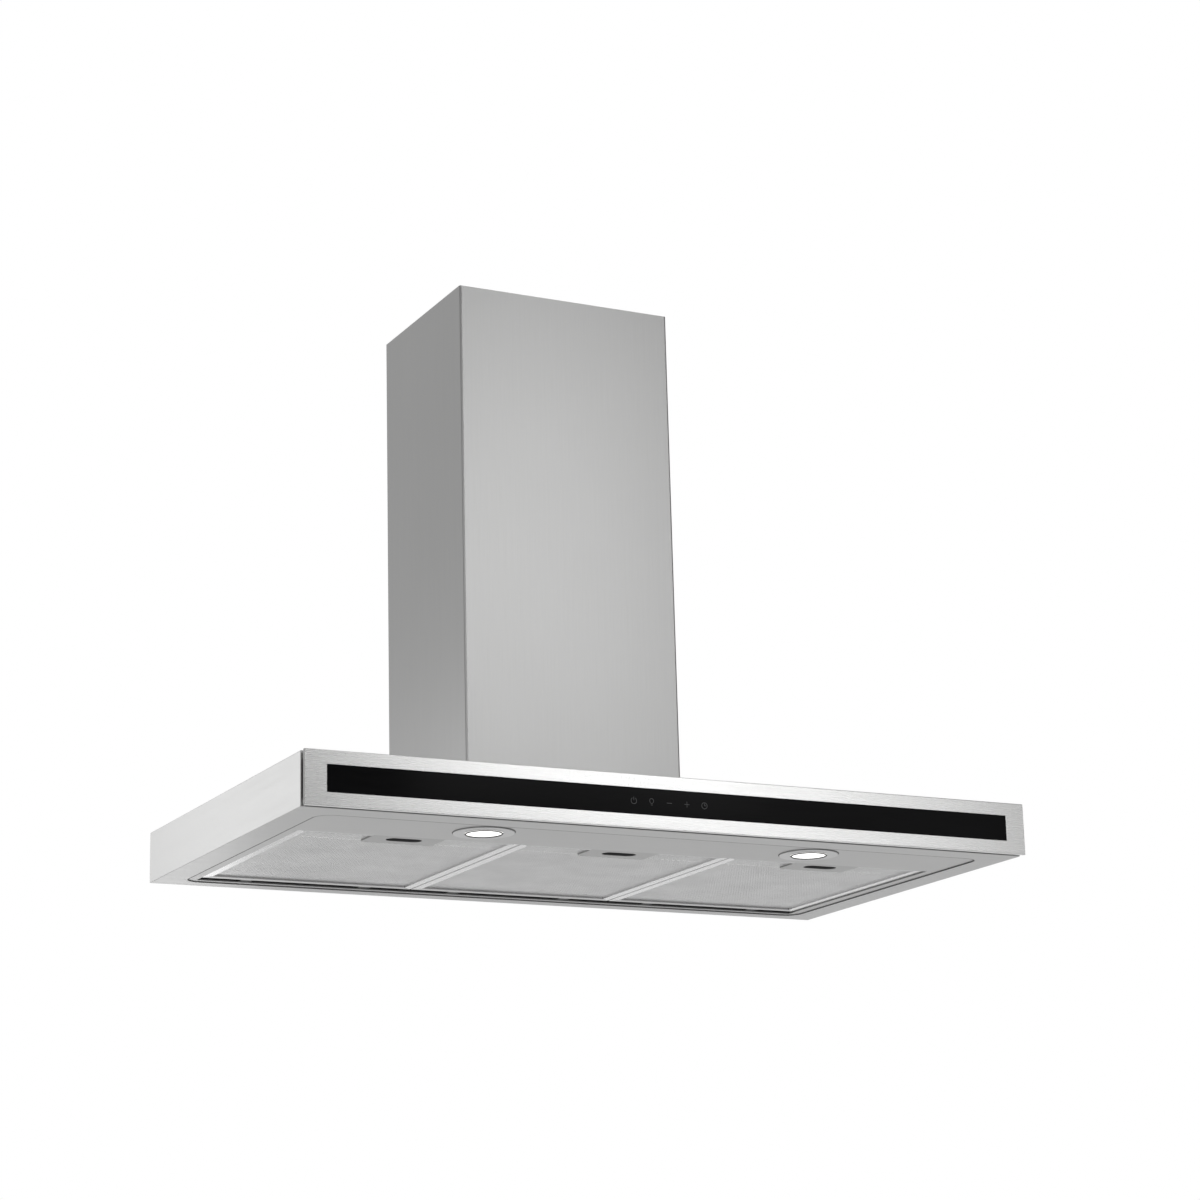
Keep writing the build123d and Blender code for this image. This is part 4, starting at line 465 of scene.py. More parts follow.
@dataclass(frozen=True)
class GalvanisedSheet(Finish):
    """Zinc coated sheet with its frozen crystals."""

    tone: float
    hue: Triple = (0.97, 0.99, 1.0)
    crystals: float = 95.0
    haze_scale: float = 14.0
    haze_share: float = 0.4
    shades: Pair = (0.82, 1.08)
    roughness: Pair = (0.36, 0.52)
    roughness_span: Pair = (0.1, 0.9)
    relief: float = 0.08
    relief_depth: float = 0.0004

    def paint(self, graph: Graph) -> None:
        """Grow the crystals, with a haze over them.

        Args:
            graph: the material's graph.
        """
        cells = graph.node("TexVoronoi", Vector=graph.coordinates.outputs["Object"], Scale=self.crystals)
        crystal = graph.node("SeparateColor", Color=cells.outputs["Color"]).outputs["Red"]
        haze = graph.noise(graph.mapped(), self.haze_scale, detail=3.0)
        mottle = graph.blend(crystal, haze, self.haze_share)
        zinc = tuple(self.tone * part for part in self.hue)
        graph.bump(haze, self.relief, self.relief_depth)
        graph.surface(
            Base_Color=graph.shaded(mottle, zinc, self.shades),
            Roughness=graph.spread(mottle, *self.roughness, self.roughness_span),
            Metallic=0.9,
        )


@dataclass(frozen=True)
class SatinMetal(Finish):
    """Cast, plated or rolled metal with a fine even speckle."""

    colour: Triple
    roughness: float
    speckle: float = 1400.0
    relief: float = 0.10
    relief_depth: float = 0.0001
    haze_scale: float = 22.0
    haze_share: float = 0.5
    shades: Pair = (0.86, 1.06)
    smoother: float = 0.85
    rougher: float = 1.2

    def paint(self, graph: Graph) -> None:
        """Speckle the metal, with a haze over it.

        Args:
            graph: the material's graph.
        """
        plain = graph.mapped()
        fine = graph.noise(plain, self.speckle, rough=0.6)
        haze = graph.noise(plain, self.haze_scale, detail=3.0)
        level = graph.spread(graph.blend(fine, haze, self.haze_share), *FULL_SPAN)
        graph.bump(fine, self.relief, self.relief_depth)
        graph.surface(
            Base_Color=graph.shaded(level, self.colour, self.shades),
            Roughness=graph.spread(fine, self.roughness * self.smoother, self.roughness * self.rougher),
            Metallic=1.0,
        )


@dataclass(frozen=True)
class LayeredMesh(Finish):
    """Inner layers of the filter pack: crossed strands, with painted shade in the gaps between them."""

    tone: float
    strands: float = 330.0
    slant: float = 1.7
    # painted shade in the gaps between the strands
    gap_painted_shade: float = 0.72
    gap_span: Pair = (0.15, 0.55)
    gap_roughness: float = 0.62
    roughness: float = 0.40
    haze_scale: float = 26.0
    haze: Pair = (0.8, 1.0)
    relief: float = 0.5
    relief_depth: float = 0.0004

    def paint(self, graph: Graph) -> None:
        """Cross the strands, and paint shade into the gaps between them.

        Args:
            graph: the material's graph.
        """
        lines: list[Socket] = []
        for lean in (1.0, -1.0):
            across, along, _ = graph.axes(graph.mapped((self.strands, self.strands * self.slant, 1.0)))
            place = graph.maths("ADD", across, graph.maths("MULTIPLY", along, lean))
            wave = graph.maths("SINE", graph.maths("MULTIPLY", place, math.pi))
            lines.append(graph.maths("ABSOLUTE", wave))
        # level is 1 on the strands and 0 in the gaps, where the colour falls to the painted shade
        level = graph.spread(graph.maths("MINIMUM", *lines), 1.0, 0.0, self.gap_span)
        haze = graph.spread(graph.noise(graph.mapped(), self.haze_scale, detail=3.0), *self.haze)
        hazy = graph.maths("MULTIPLY", level, haze)
        graph.bump(level, self.relief, self.relief_depth)
        graph.surface(
            Base_Color=graph.shaded(hazy, neutral(self.tone), (self.gap_painted_shade, 1.0)),
            Roughness=graph.spread(level, self.gap_roughness, self.roughness, FULL_SPAN),
            Metallic=1.0,
        )


@dataclass(frozen=True)
class MouldedPlastic(Finish):
    """Moulded plastic or rubber with a fine spark-eroded texture."""

    colour: Triple
    roughness: float
    texture: float = 1100.0
    relief: float = 0.18
    relief_depth: float = 0.00015
    haze_scale: float = 17.0
    shades: Pair = (0.88, 1.08)
    smoother: float = 0.06
    rougher: float = 0.08

    def paint(self, graph: Graph) -> None:
        """Erode the surface, with a haze over it.

        Args:
            graph: the material's graph.
        """
        plain = graph.mapped()
        fine = graph.noise(plain, self.texture, rough=0.6)
        haze = graph.spread(graph.noise(plain, self.haze_scale, detail=3.0), *FULL_SPAN)
        graph.bump(fine, self.relief, self.relief_depth)
        graph.surface(
            Base_Color=graph.shaded(haze, self.colour, self.shades),
            Roughness=graph.spread(fine, self.roughness - self.smoother, self.roughness + self.rougher),
        )


@dataclass(frozen=True)
class PrintedGlass(Finish):
    """Glass printed black on its back, with a trace of wiping marks."""

    colour: Triple
    wiping: Triple = (6.0, 1.0, 40.0)
    shades: Pair = (0.8, 1.3)
    roughness: Pair = (0.07, 0.14)

    def paint(self, graph: Graph) -> None:
        """Wipe the glass.

        Args:
            graph: the material's graph.
        """
        wipe = graph.noise(graph.mapped(self.wiping), detail=4.0, rough=0.6)
        graph.surface(
            Base_Color=graph.shaded(graph.spread(wipe, *FULL_SPAN), self.colour, self.shades),
            Roughness=graph.spread(wipe, *self.roughness),
            Specular_IOR_Level=0.03,
            IOR=1.5,
        )


@dataclass(frozen=True)
class CircuitBoard(Finish):
    """Green board with paler tracks and tinned pads."""

    colour: Triple = (0.02, 0.12, 0.05)
    track_colour: Triple = (0.16, 0.42, 0.18)
    tracks: float = 120.0
    track_width: float = 0.06
    haze_scale: float = 60.0
    haze: Pair = (0.2, 1.0)
    roughness: Pair = (0.28, 0.42)
    relief: float = 0.3
    relief_depth: float = 0.0001

    def paint(self, graph: Graph) -> None:
        """Lay the tracks.

        Args:
            graph: the material's graph.
        """
        place = graph.coordinates.outputs["Object"]
        tracks = graph.node("TexBrick", Vector=place, Scale=self.tracks, Mortar_Size=self.track_width)
        haze = graph.noise(graph.mapped(), self.haze_scale)
        level = graph.maths("MULTIPLY", tracks.outputs["Fac"], graph.spread(haze, *self.haze))
        graph.bump(level, self.relief, self.relief_depth)
        graph.surface(
            Base_Color=graph.tint(level, self.colour, self.track_colour),
            Roughness=graph.spread(haze, *self.roughness),
        )


@dataclass(frozen=True)
class LitDiffuser(Finish):
    """Milky lamp lens, brightest over its light source."""

    centre: Triple
    radius: float
    strength: float
    glow: Pair = (0.55, 1.0)
    glow_span: Pair = (0.0, 0.7)
    rim_light: Triple = (0.80, 0.79, 0.76)
    core_light: Triple = (1.0, 0.99, 0.97)
    prisms: float = 420.0
    prism_low: Triple = (0.86, 0.86, 0.85)
    prism_high: Triple = (0.94, 0.94, 0.93)

    def paint(self, graph: Graph) -> None:
        """Light the lens from its middle.

        Args:
            graph: the material's graph.
        """
        glow = graph.spread(graph.dome(self.radius, self.centre), *self.glow, self.glow_span)
        prism = graph.noise(graph.mapped(), self.prisms, detail=1.0)
        graph.surface(
            Emission_Color=graph.tint(glow, self.rim_light, self.core_light),
            Emission_Strength=self.strength,
            Base_Color=graph.tint(prism, self.prism_low, self.prism_high),
            Roughness=0.25,
        )


@dataclass(frozen=True)
class SymbolPrint(Finish):
    """Grey ink of the touch symbols, lit faintly from behind."""

    tone: float
    glow: float
    shades: Pair = (0.85, 1.1)
    ink_grain: float = 2600.0

    def paint(self, graph: Graph) -> None:
        """Print the ink and light it.

        Args:
            graph: the material's graph.
        """
        ink = graph.noise(graph.mapped(), self.ink_grain, detail=1.0)
        graph.surface(
            Base_Color=graph.shaded(ink, neutral(self.tone), self.shades),
            Emission_Color=(0.8, 0.85, 0.9, 1.0),
            Emission_Strength=self.glow,
            Roughness=0.5,
        )


@dataclass(frozen=True)
class StudioFloor(Finish):
    """Pale matt paper of the floor, which fades out towards its rim."""

    tone: float
    glow: float
    radius: float
    fade: float = 0.45
    fibres: float = 5.0
    shades: Pair = (0.985, 1.01)

    def paint(self, graph: Graph) -> None:
        """Lay the paper and fade its rim.

        Args:
            graph: the material's graph.
        """
        fibre = graph.noise(graph.mapped(), self.fibres, detail=3.0)
        graph.surface(
            Base_Color=graph.shaded(fibre, neutral(self.tone), self.shades),
            Alpha=graph.spread(graph.dome(self.radius), *FULL_SPAN, (0.0, self.fade)),
            Roughness=0.9,
            Emission_Color=WHITE,
            Emission_Strength=self.glow,
        )


SHARED_FINISHES: tuple[Finish, ...] = (
    # canopy: its left and right faces painted lighter, as painted light
    BrushedSteel("canopy_steel", 0.50, 0.36, side_grain=Grain.ALONG_Y, contrast=0.06, painted_side_light=1.35),
    # fascia: its left and right faces painted darker, as painted shade
    BrushedSteel(
        "fascia_steel", 0.75, 0.27, contrast=0.06, relief=0.028, painted_side_light=0.3, broad_share=0.15, sheen=0.04
    ),
    BrushedSteel(
        "chimney_steel", 0.50, 0.35, Grain.ALONG_Z, contrast=0.07, relief=0.06, broad_share=0.20, sheen=0.02
    ),
    BrushedSteel("panel_steel", 0.51, 0.40, contrast=0.06),
    BrushedSteel("latch_steel", 0.40, 0.36),
    SatinMetal("spring_steel", (0.42, 0.42, 0.44), 0.30),
    LayeredMesh("filter_aluminium", 0.80),
    GalvanisedSheet("galvanised_steel", 0.62),
    SatinMetal("screw_steel", (0.60, 0.60, 0.58), 0.28),
    SatinMetal("lamp_chrome", (0.60, 0.60, 0.60), 0.38, relief=0.04),
    SatinMetal("reflector_aluminium", (0.88, 0.88, 0.88), 0.12),
    SatinMetal("sink_aluminium", (0.55, 0.56, 0.58), 0.45, speckle=500.0, relief=0.25),
    MouldedPlastic("latch_plastic", (0.085, 0.085, 0.088), 0.48),
    MouldedPlastic("black_plastic", (0.020, 0.020, 0.021), 0.50),
    MouldedPlastic("rubber_pads", (0.035, 0.035, 0.035), 0.75),
    MouldedPlastic("grey_plastic", (0.22, 0.23, 0.24), 0.46),
    MouldedPlastic("wheel_plastic", (0.045, 0.046, 0.050), 0.42),
    MouldedPlastic("motor_paint", (0.040, 0.040, 0.044), 0.35, texture=300.0, relief=0.12),
    MouldedPlastic("white_plastic", (0.70, 0.70, 0.68), 0.42),
    PrintedGlass("black_glass", (0.0060, 0.0060, 0.0064)),
    CircuitBoard("circuit_board"),
)
EXPANDED_ALUMINIUM = SatinMetal("expanded_aluminium", (0.84, 0.84, 0.84), 0.36, speckle=900.0)
# dark rubber of the beads that stand as painted shade of the shadow lines round the inner panel and the
# lamps
SHADOW_BEAD_RUBBER = MouldedPlastic("seal_rubber", (0.11, 0.11, 0.11), 0.70)
SYMBOL_INK = SymbolPrint("symbol_print", 0.05, 0.018)


def plate(low: Vector, high: Vector, columns: int = 1, rows: int = 1) -> BMesh:
    """Flat rectangle that faces up.

    Args:
        low: its front left corner.
        high: its rear right corner, at the same height.
        columns: number of faces along x.
        rows: number of faces along y.

    Returns:
        The rectangle.
    """
    mesh = bmesh.new()
    size = high - low
    bmesh.ops.create_grid(mesh, x_segments=columns, y_segments=rows, size=HALF)
    bmesh.ops.scale(mesh, vec=(size.x, size.y, 1.0), verts=mesh.verts)
    bmesh.ops.translate(mesh, vec=(low + high) / 2, verts=mesh.verts)
    return mesh


def open_faces(mesh: BMesh, rim: float, thickness: float) -> None:
    """Cut every flat face down to a rim and thicken it.

    Args:
        mesh: the flat faces.
        rim: width of the rim that stays.
        thickness: thickness of the rim.
    """
    openings = mesh.faces[:]
    bmesh.ops.inset_individual(mesh, faces=openings, thickness=rim, use_even_offset=True)
    bmesh.ops.delete(mesh, geom=openings, context="FACES_ONLY")
    bmesh.ops.solidify(mesh, geom=mesh.faces[:], thickness=thickness)


def turned(profile: list[Pair], centre: Vector, sides: int, closed: bool) -> BMesh:
    """Shape turned about an upright axis.

    Args:
        profile: its outline, as distances from the axis and heights over the centre.
        centre: point of the axis.
        sides: number of steps round the axis.
        closed: whether the outline ends where it starts, or else starts and ends on the axis.

    Returns:
        The shape.
    """
    mesh = bmesh.new()
    corners = [mesh.verts.new((centre.x + across, centre.y, centre.z + up)) for across, up in profile]
    following = corners[1:] + corners[:1] if closed else corners[1:]
    edges = [mesh.edges.new(pair) for pair in zip(corners, following)]
    bmesh.ops.spin(
        mesh,
        geom=corners + edges,
        cent=centre,
        axis=(0, 0, 1),
        angle=math.tau,
        steps=sides,
        use_merge=True,
    )
    bmesh.ops.remove_doubles(mesh, verts=mesh.verts, dist=MERGE_DISTANCE)
    bmesh.ops.recalc_face_normals(mesh, faces=mesh.faces[:])
    return mesh


def packed_shape(node: str) -> BMesh:
    """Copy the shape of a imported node.

    Args:
        node: name of the node.

    Returns:
        Its shape, with the loose triangles joined.
    """
    mesh = bmesh.new()
    mesh.from_mesh(frame["nodes"][node].data)
    bmesh.ops.remove_doubles(mesh, verts=mesh.verts, dist=MERGE_DISTANCE)
    return mesh


def placed(name: str, mesh: BMesh) -> bpy.types.Object:
    """Put a shape into the scene.

    Args:
        name: name of the object.
        mesh: the shape, in the part's frame; it is freed.

    Returns:
        The new object.
    """
    data = bpy.data.meshes.new(name)
    mesh.to_mesh(data)
    mesh.free()
    added = bpy.data.objects.new(name, data)
    bpy.context.scene.collection.objects.link(added)
    return added


def finished_piece(name: str, mesh: BMesh, material: Material, body: str) -> bpy.types.Object:
    """Turn a shape into a piece that rides on a body.

    Args:
        name: name of the piece.
        mesh: its shape, in the part's frame; it is freed.
        material: its finish.
        body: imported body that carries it.

    Returns:
        The new piece.
    """
    piece = placed(name, mesh)
    piece.data.materials.append(material)
    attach(piece, body)
    LOG.info("%s: %d faces on %s", name, len(piece.data.polygons), body)
    return piece


@dataclass
class PackedPieces:
    """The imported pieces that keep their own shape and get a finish."""

    lamp_radius: float = 0.024
    lamp_strength: float = 1.35

    def lens_finish(self, node: str) -> Finish:
        """Finish of a lamp lens, centred on it."""
        low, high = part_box(node)
        return LitDiffuser(f"{node}_light", tuple((low + high) / 2), self.lamp_radius, self.lamp_strength)

    def rail_finish(self, node: str) -> Finish:
        """Fit the finish of a filter frame to its rails.

        Args:
            node: name of the frame.

        Returns:
            Its finish.
        """
        low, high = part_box(node)
        pack_low, pack_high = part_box(node.replace("frame", "mesh"))
        back = pack_high.y + pack_low.y - low.y
        centre = ((low.x + high.x) / 2, (low.y + back) / 2)
        return MitredFrame(f"{node}_rails", centre, (high.x - low.x) / 2, (back - low.y) / 2)

    def dress(self) -> dict[str, Material]:
        """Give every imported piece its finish.

        Returns:
            The shared materials by slot.
        """
        shared = {finish.name: finish.material() for finish in SHARED_FINISHES}
        fitted = {"lamp_lens": self.lens_finish, "filter_steel": self.rail_finish}
        for row in frame["record"]["subparts"]:
            node, slot = row["node"], row["material_slot"]
            material = fitted[slot](node).material() if slot in fitted else shared[slot]
            for place in frame["nodes"][node].material_slots:
                place.material = material
            LOG.info("%s: %s", node, material.name)
        return shared


@dataclass
class FilterFacing:
    """Outer sheet of expanded metal under one filter pack, cut round its latch."""

    side: Side
    rail: float = 0.011
    gap: float = 0.0001
    cell_width: float = 0.0070
    cell_depth: float = 0.0040
    strand: float = 0.0014
    thickness: float = 0.0005

    def sheet(self, mesh: BMesh, low: Vector, high: Vector) -> None:
        """Add one rectangle of expanded metal.

        Args:
            mesh: bmesh that takes it.
            low: its front left corner; its height is the sheet's upper face.
            high: its rear right corner.
        """
        size = high - low
        columns = max(1, round(size.x / self.cell_width))
        rows = max(1, round(size.y / self.cell_depth))
        part = plate(low, high, columns, rows)
        inner_edges = [edge for edge in part.edges if not edge.is_boundary]
        bmesh.ops.poke(part, faces=part.faces[:])
        bmesh.ops.dissolve_edges(part, edges=inner_edges, use_verts=False)
        open_faces(part, self.strand / 2, self.thickness)
        data = bpy.data.meshes.new("expanded_metal")
        part.to_mesh(data)
        part.free()
        mesh.from_mesh(data)
        bpy.data.meshes.remove(data)

    def build(self, material: Material) -> bpy.types.Object:
        """Make the facing of this filter.

        Args:
            material: its finish.

        Returns:
            The new piece.
        """
        side = self.side.value
        pack_low, pack_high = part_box(f"filter_mesh_{side}")
        latch_low, latch_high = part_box(f"latch_base_{side}")
        frame_low, frame_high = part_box(f"filter_frame_{side}")
        inset = self.rail + self.gap
        left, right = frame_low.x + inset, frame_high.x - inset
        front = frame_low.y + inset
        margin = pack_low.y - frame_low.y
        back = pack_high.y + margin - inset
        level = pack_low.z - self.gap
        behind = latch_high.y + self.gap
        mesh = bmesh.new()
        self.sheet(mesh, Vector((left, behind, level)), Vector((right, back, level)))
        self.sheet(mesh, Vector((left, front, level)), Vector((latch_low.x - self.gap, behind, level)))
        self.sheet(mesh, Vector((latch_high.x + self.gap, front, level)), Vector((right, behind, level)))
        return finished_piece(f"filter_facing_{side}", mesh, material, f"filter_{side}")


@dataclass
class LatchSpring:
    """Leaf spring of one latch, copied from the imported spring as a piece of its own."""

    side: Side
    clearance: float = 0.00005

    def build(self, material: Material) -> bpy.types.Object:
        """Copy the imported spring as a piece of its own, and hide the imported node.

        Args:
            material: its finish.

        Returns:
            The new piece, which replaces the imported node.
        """
        side = self.side.value
        node, slide = f"latch_spring_{side}", f"latch_{side}_slide"
        mesh = packed_shape(node)
        piece = finished_piece(f"{node}_leaf", mesh, material, f"filter_{side}")
        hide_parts(node)
        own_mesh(piece)
        return piece


@dataclass(frozen=True)
class ScrewPlace:
    """Sizes of one packed screw, the middle of its head's underside, and the way that its head faces."""

    radius: float
    height: float
    shank: float
    length: float
    seat: Vector
    facing: Vector


@dataclass
class RecessedScrews:
    """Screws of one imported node, remade with domed heads and a cross recess."""

    node: str
    body: str
    sides: int = 24
    dome_share: float = 0.45
    dome_steps: int = 5
    recess_reach: float = 0.58
    recess_width: float = 0.17
    recess_depth: float = 0.75
    tip_chamfer: float = 0.0005
    head_share: float = 0.95
    tolerance: float = 1e-4
    digits: int = 6

    def islands(self) -> list[list[Vector]]:
        """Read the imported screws.

        Returns:
            The corner points of each screw.
        """
        mesh = packed_shape(self.node)
        seen: set[bmesh.types.BMVert] = set()
        found: list[list[Vector]] = []
        for first in mesh.verts:
            if first in seen:
                continue
            seen.add(first)
            reached = [first]
            for corner in reached:
                beside = [edge.other_vert(corner) for edge in corner.link_edges]
                fresh = [other for other in beside if other not in seen]
                seen.update(fresh)
                reached += fresh
            found.append([corner.co.copy() for corner in reached])
        mesh.free()
        return found

    def measured(self, corners: list[Vector]) -> ScrewPlace:
        """Measure one packed screw, whose axis is the direction with a size of its own.

        Args:
            corners: its corner points.

        Returns:
            Its sizes and place.
        """
        low = Vector([min(corner[axis] for corner in corners) for axis in AXES])
        high = Vector([max(corner[axis] for corner in corners) for axis in AXES])
        middle = (low + high) / 2
        sizes = high - low
        alike = [sum(abs(size - other) < self.tolerance for other in sizes) for size in sizes]
        axis = alike.index(min(alike))
        others = [other for other in AXES if other != axis]
        centre = [middle[other] for other in others]
        across = [math.dist([corner[other] for other in others], centre) for corner in corners]
        limit = self.head_share * max(across)
        head = [corner[axis] for corner, reach in zip(corners, across) if reach > limit]
        height = max(head) - min(head)
        shank = max(reach for reach in across if reach <= limit)
        upwards = sum(head) / len(head) > middle[axis]
        seat = middle.copy()
        seat[axis] = min(head) if upwards else max(head)
        facing = Vector()
        facing[axis] = 1.0 if upwards else -1.0
        measures = (max(across), height, shank, sizes[axis] - height)
        return ScrewPlace(*(round(measure, self.digits) for measure in measures), seat, facing)

    def cutter(self, place: ScrewPlace) -> BMesh:
        """Cross that cuts the recess of a screw.

        Args:
            place: sizes of the screw.

        Returns:
            The cross, round the z axis.
        """
        mesh = bmesh.new()
        width = 2 * place.radius * self.recess_width
        arm = place.radius * (self.recess_reach - self.recess_width)
        size = Matrix.Diagonal((width, width, 2 * place.height * self.recess_depth, 1.0))
        bmesh.ops.create_cube(mesh, size=1.0, matrix=Matrix.Translation((0, 0, place.height)) @ size)
        mesh.normal_update()
        walls = [face for face in mesh.faces if abs(face.normal.z) < HALF]
        for face in bmesh.ops.extrude_discrete_faces(mesh, faces=walls)["faces"]:
            face.normal_update()
            bmesh.ops.translate(mesh, vec=face.normal * arm, verts=face.verts[:])
        bmesh.ops.recalc_face_normals(mesh, faces=mesh.faces[:])
        return mesh

    def screw(self, place: ScrewPlace) -> BMesh:
        """Screw along z, with the underside of its head at zero.

        Args:
            place: sizes of the screw.

        Returns:
            The screw without its recess.
        """
        rim = place.height * (1 - self.dome_share)
        profile = [(0.0, place.height)]
        for step in range(1, self.dome_steps + 1):
            lean = math.pi / 2 * step / self.dome_steps
            profile.append((place.radius * math.sin(lean), rim + (place.height - rim) * math.cos(lean)))
        profile += [(place.radius, 0.0), (place.shank, 0.0), (place.shank, self.tip_chamfer - place.length)]
        profile += [(place.shank - self.tip_chamfer, -place.length), (0.0, -place.length)]
        return turned(profile, Vector(), self.sides, closed=False)

    def recessed(self, solid: BMesh, cross: BMesh) -> bpy.types.Mesh:
        """Cut the cross out of a screw.

        Args:
            solid: the screw; it is freed.
            cross: the cross; it is freed.

        Returns:
            The finished mesh.
        """
        blanks = [placed("blank", shape) for shape in (solid, cross)]
        cut = blanks[0].modifiers.new("recess", "BOOLEAN")
        cut.operation = "DIFFERENCE"
        cut.solver = "EXACT"
        cut.object = blanks[1]
        evaluated = blanks[0].evaluated_get(bpy.context.evaluated_depsgraph_get())
        finished = bpy.data.meshes.new_from_object(evaluated)
        for blank in blanks:
            data = blank.data
            bpy.data.objects.remove(blank)
            bpy.data.meshes.remove(data)
        return finished

    def build(self, material: Material, slot: str) -> bpy.types.Object:
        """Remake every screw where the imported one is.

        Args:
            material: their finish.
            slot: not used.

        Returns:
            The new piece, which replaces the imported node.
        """
        mesh = bmesh.new()
        made: dict[tuple[float, ...], bpy.types.Mesh] = {}
        for corners in self.islands():
            place = self.measured(corners)
            sizes = (place.radius, place.height, place.shank, place.length)
            if sizes not in made:
                made[sizes] = self.recessed(self.screw(place), self.cutter(place))
            turn = place.facing.to_track_quat("Z", "Y").to_matrix().to_4x4()
            start = len(mesh.verts)
            mesh.from_mesh(made[sizes])
            mesh.verts.ensure_lookup_table()
            bmesh.ops.transform(mesh, matrix=Matrix.Translation(place.seat) @ turn, verts=mesh.verts[start:])
        bmesh.ops.dissolve_degenerate(mesh, dist=MERGE_DISTANCE, edges=mesh.edges[:])
        piece = finished_piece(f"{self.node}_recessed", mesh, material, self.body)
        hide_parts(self.node)
        for data in made.values():
            bpy.data.meshes.remove(data)
        return piece


@dataclass
class PanelShadowBead:
    """Dark bead that closes the joint between the canopy's flanges and the inner panel, as painted shade of
    its shadow line.
    """

    side_flange: float = 0.033
    front_flange: float = 0.043
    rear_flange: float = 0.022
    corner: float = 0.020
    corner_segments: int = 10
    width: float = 0.0018
    height: float = 0.00095
    rounding: float = 0.0002
    rounding_segments: int = 2
    rim_angle: float = 60.0

    def build(self, material: Material) -> bpy.types.Object:
        """Lay the bead round the inner panel.

        Args:
            material: its finish.

        Returns:
            The new piece.
        """
        shell_low, shell_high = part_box("canopy_shell")
        fascia_low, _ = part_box("front_fascia")
        panel_low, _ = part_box("inner_panel")
        left, right = shell_low.x + self.side_flange, shell_high.x - self.side_flange
        front, back = fascia_low.y + self.front_flange, shell_high.y - self.rear_flange
        mesh = plate(Vector((left, front, panel_low.z)), Vector((right, back, panel_low.z)))
        bmesh.ops.bevel(
            mesh,
            geom=mesh.verts[:],
            offset=self.corner,
            offset_type="OFFSET",
            affect="VERTICES",
            segments=self.corner_segments,
            profile=ROUND_PROFILE,
            material=KEEP_MATERIAL,
        )
        open_faces(mesh, self.width, self.height)
        bmesh.ops.recalc_face_normals(mesh, faces=mesh.faces[:])
        bmesh.ops.bevel(
            mesh,
            geom=[edge for edge in mesh.edges if edge.calc_face_angle(0.0) > math.radians(self.rim_angle)],
            offset=self.rounding,
            affect="EDGES",
            segments=self.rounding_segments,
            profile=ROUND_PROFILE,
            material=KEEP_MATERIAL,
        )
        # painted shade: the dark bead stands for the shadow line of the joint
        return finished_piece("panel_seal", mesh, material, HOOD)


@dataclass
class LampRings:
    """Rubber rings of one lamp: a dark bead round its flange as painted shade of its shadow line, and a
    gasket round its lens.
    """

    side: Side
    gap: float = 0.00005
    # dark bead round the flange: painted shade of its shadow line
    shadow_bead_width: float = 0.0010
    shadow_bead_height: float = 0.00035
    gasket_radius: float = 0.0198
    gasket_width: float = 0.0012
    gasket_height: float = 0.0010
    sides: int = 64

    def ring(self, centre: Vector, inner: float, width: float, height: float) -> BMesh:
        """Ring with a sloping outer shoulder.

        Args:
            centre: its middle, at the level that it sits on.
            inner: its inner radius.
            width: its width.
            height: how far it stands down.

        Returns:
            The ring.
        """
        profile = [
            (inner, -self.gap),
            (inner + width, -self.gap),
            (inner + width, -height / 2),
            (inner + width / 2, -height),
            (inner, -height),
        ]
        return turned(profile, centre, self.sides, closed=True)

    def build(self, shadow_bead_finish: Material, gasket_finish: Material) -> None:
        """Lay both rings.

        Args:
            shadow_bead_finish: finish of the dark bead, which is painted shade round the flange.
            gasket_finish: finish of the gasket.
        """
        side = self.side.value
        low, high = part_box(f"lamp_bezel_{side}")
        panel_low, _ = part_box("inner_panel")
        middle = (low + high) / 2
        on_panel = Vector((middle.x, middle.y, panel_low.z))
        on_flange = Vector((middle.x, middle.y, low.z))
        reach = (high.x - low.x) / 2 + self.gap
        # painted shade: a dark bead round the flange stands for its shadow line
        shadow_bead = self.ring(on_panel, reach, self.shadow_bead_width, self.shadow_bead_height)
        finished_piece(f"lamp_seal_{side}", shadow_bead, shadow_bead_finish, HOOD)
        gasket = self.ring(on_flange, self.gasket_radius, self.gasket_width, self.gasket_height)
        finished_piece(f"lens_gasket_{side}", gasket, gasket_finish, HOOD)


@dataclass(frozen=True)
class Bar:
    """Straight stroke of a symbol, in half sizes of the symbol and degrees from x towards z."""

    length: float
    angle: float = 0.0
    place: Pair = (0.0, 0.0)


@dataclass(frozen=True)
class Arc:
    """Round stroke of a symbol, in half sizes of the symbol and degrees from x towards z."""

    radius: float
    start: float = 0.0
    sweep: float = FULL_TURN
    place: Pair = (0.0, 0.0)


class Symbol(Enum):
    """Strokes of the touch symbols, from the left."""

    POWER = (Arc(0.85, 120.0, 300.0), Bar(1.0, UPRIGHT, (0.0, 0.6)))
    LAMP = (Arc(0.62, -60.0, 300.0, (0.0, 0.3)), Bar(0.6, place=(0.0, -0.45)), Bar(0.6, place=(0.0, -0.85)))
    LESS = (Bar(1.6),)
    MORE = (Bar(1.6), Bar(1.6, UPRIGHT))
    TIMER = (Arc(0.85), Bar(0.7, UPRIGHT, (0.0, 0.3)), Bar(0.55, place=(0.25, 0.0)))


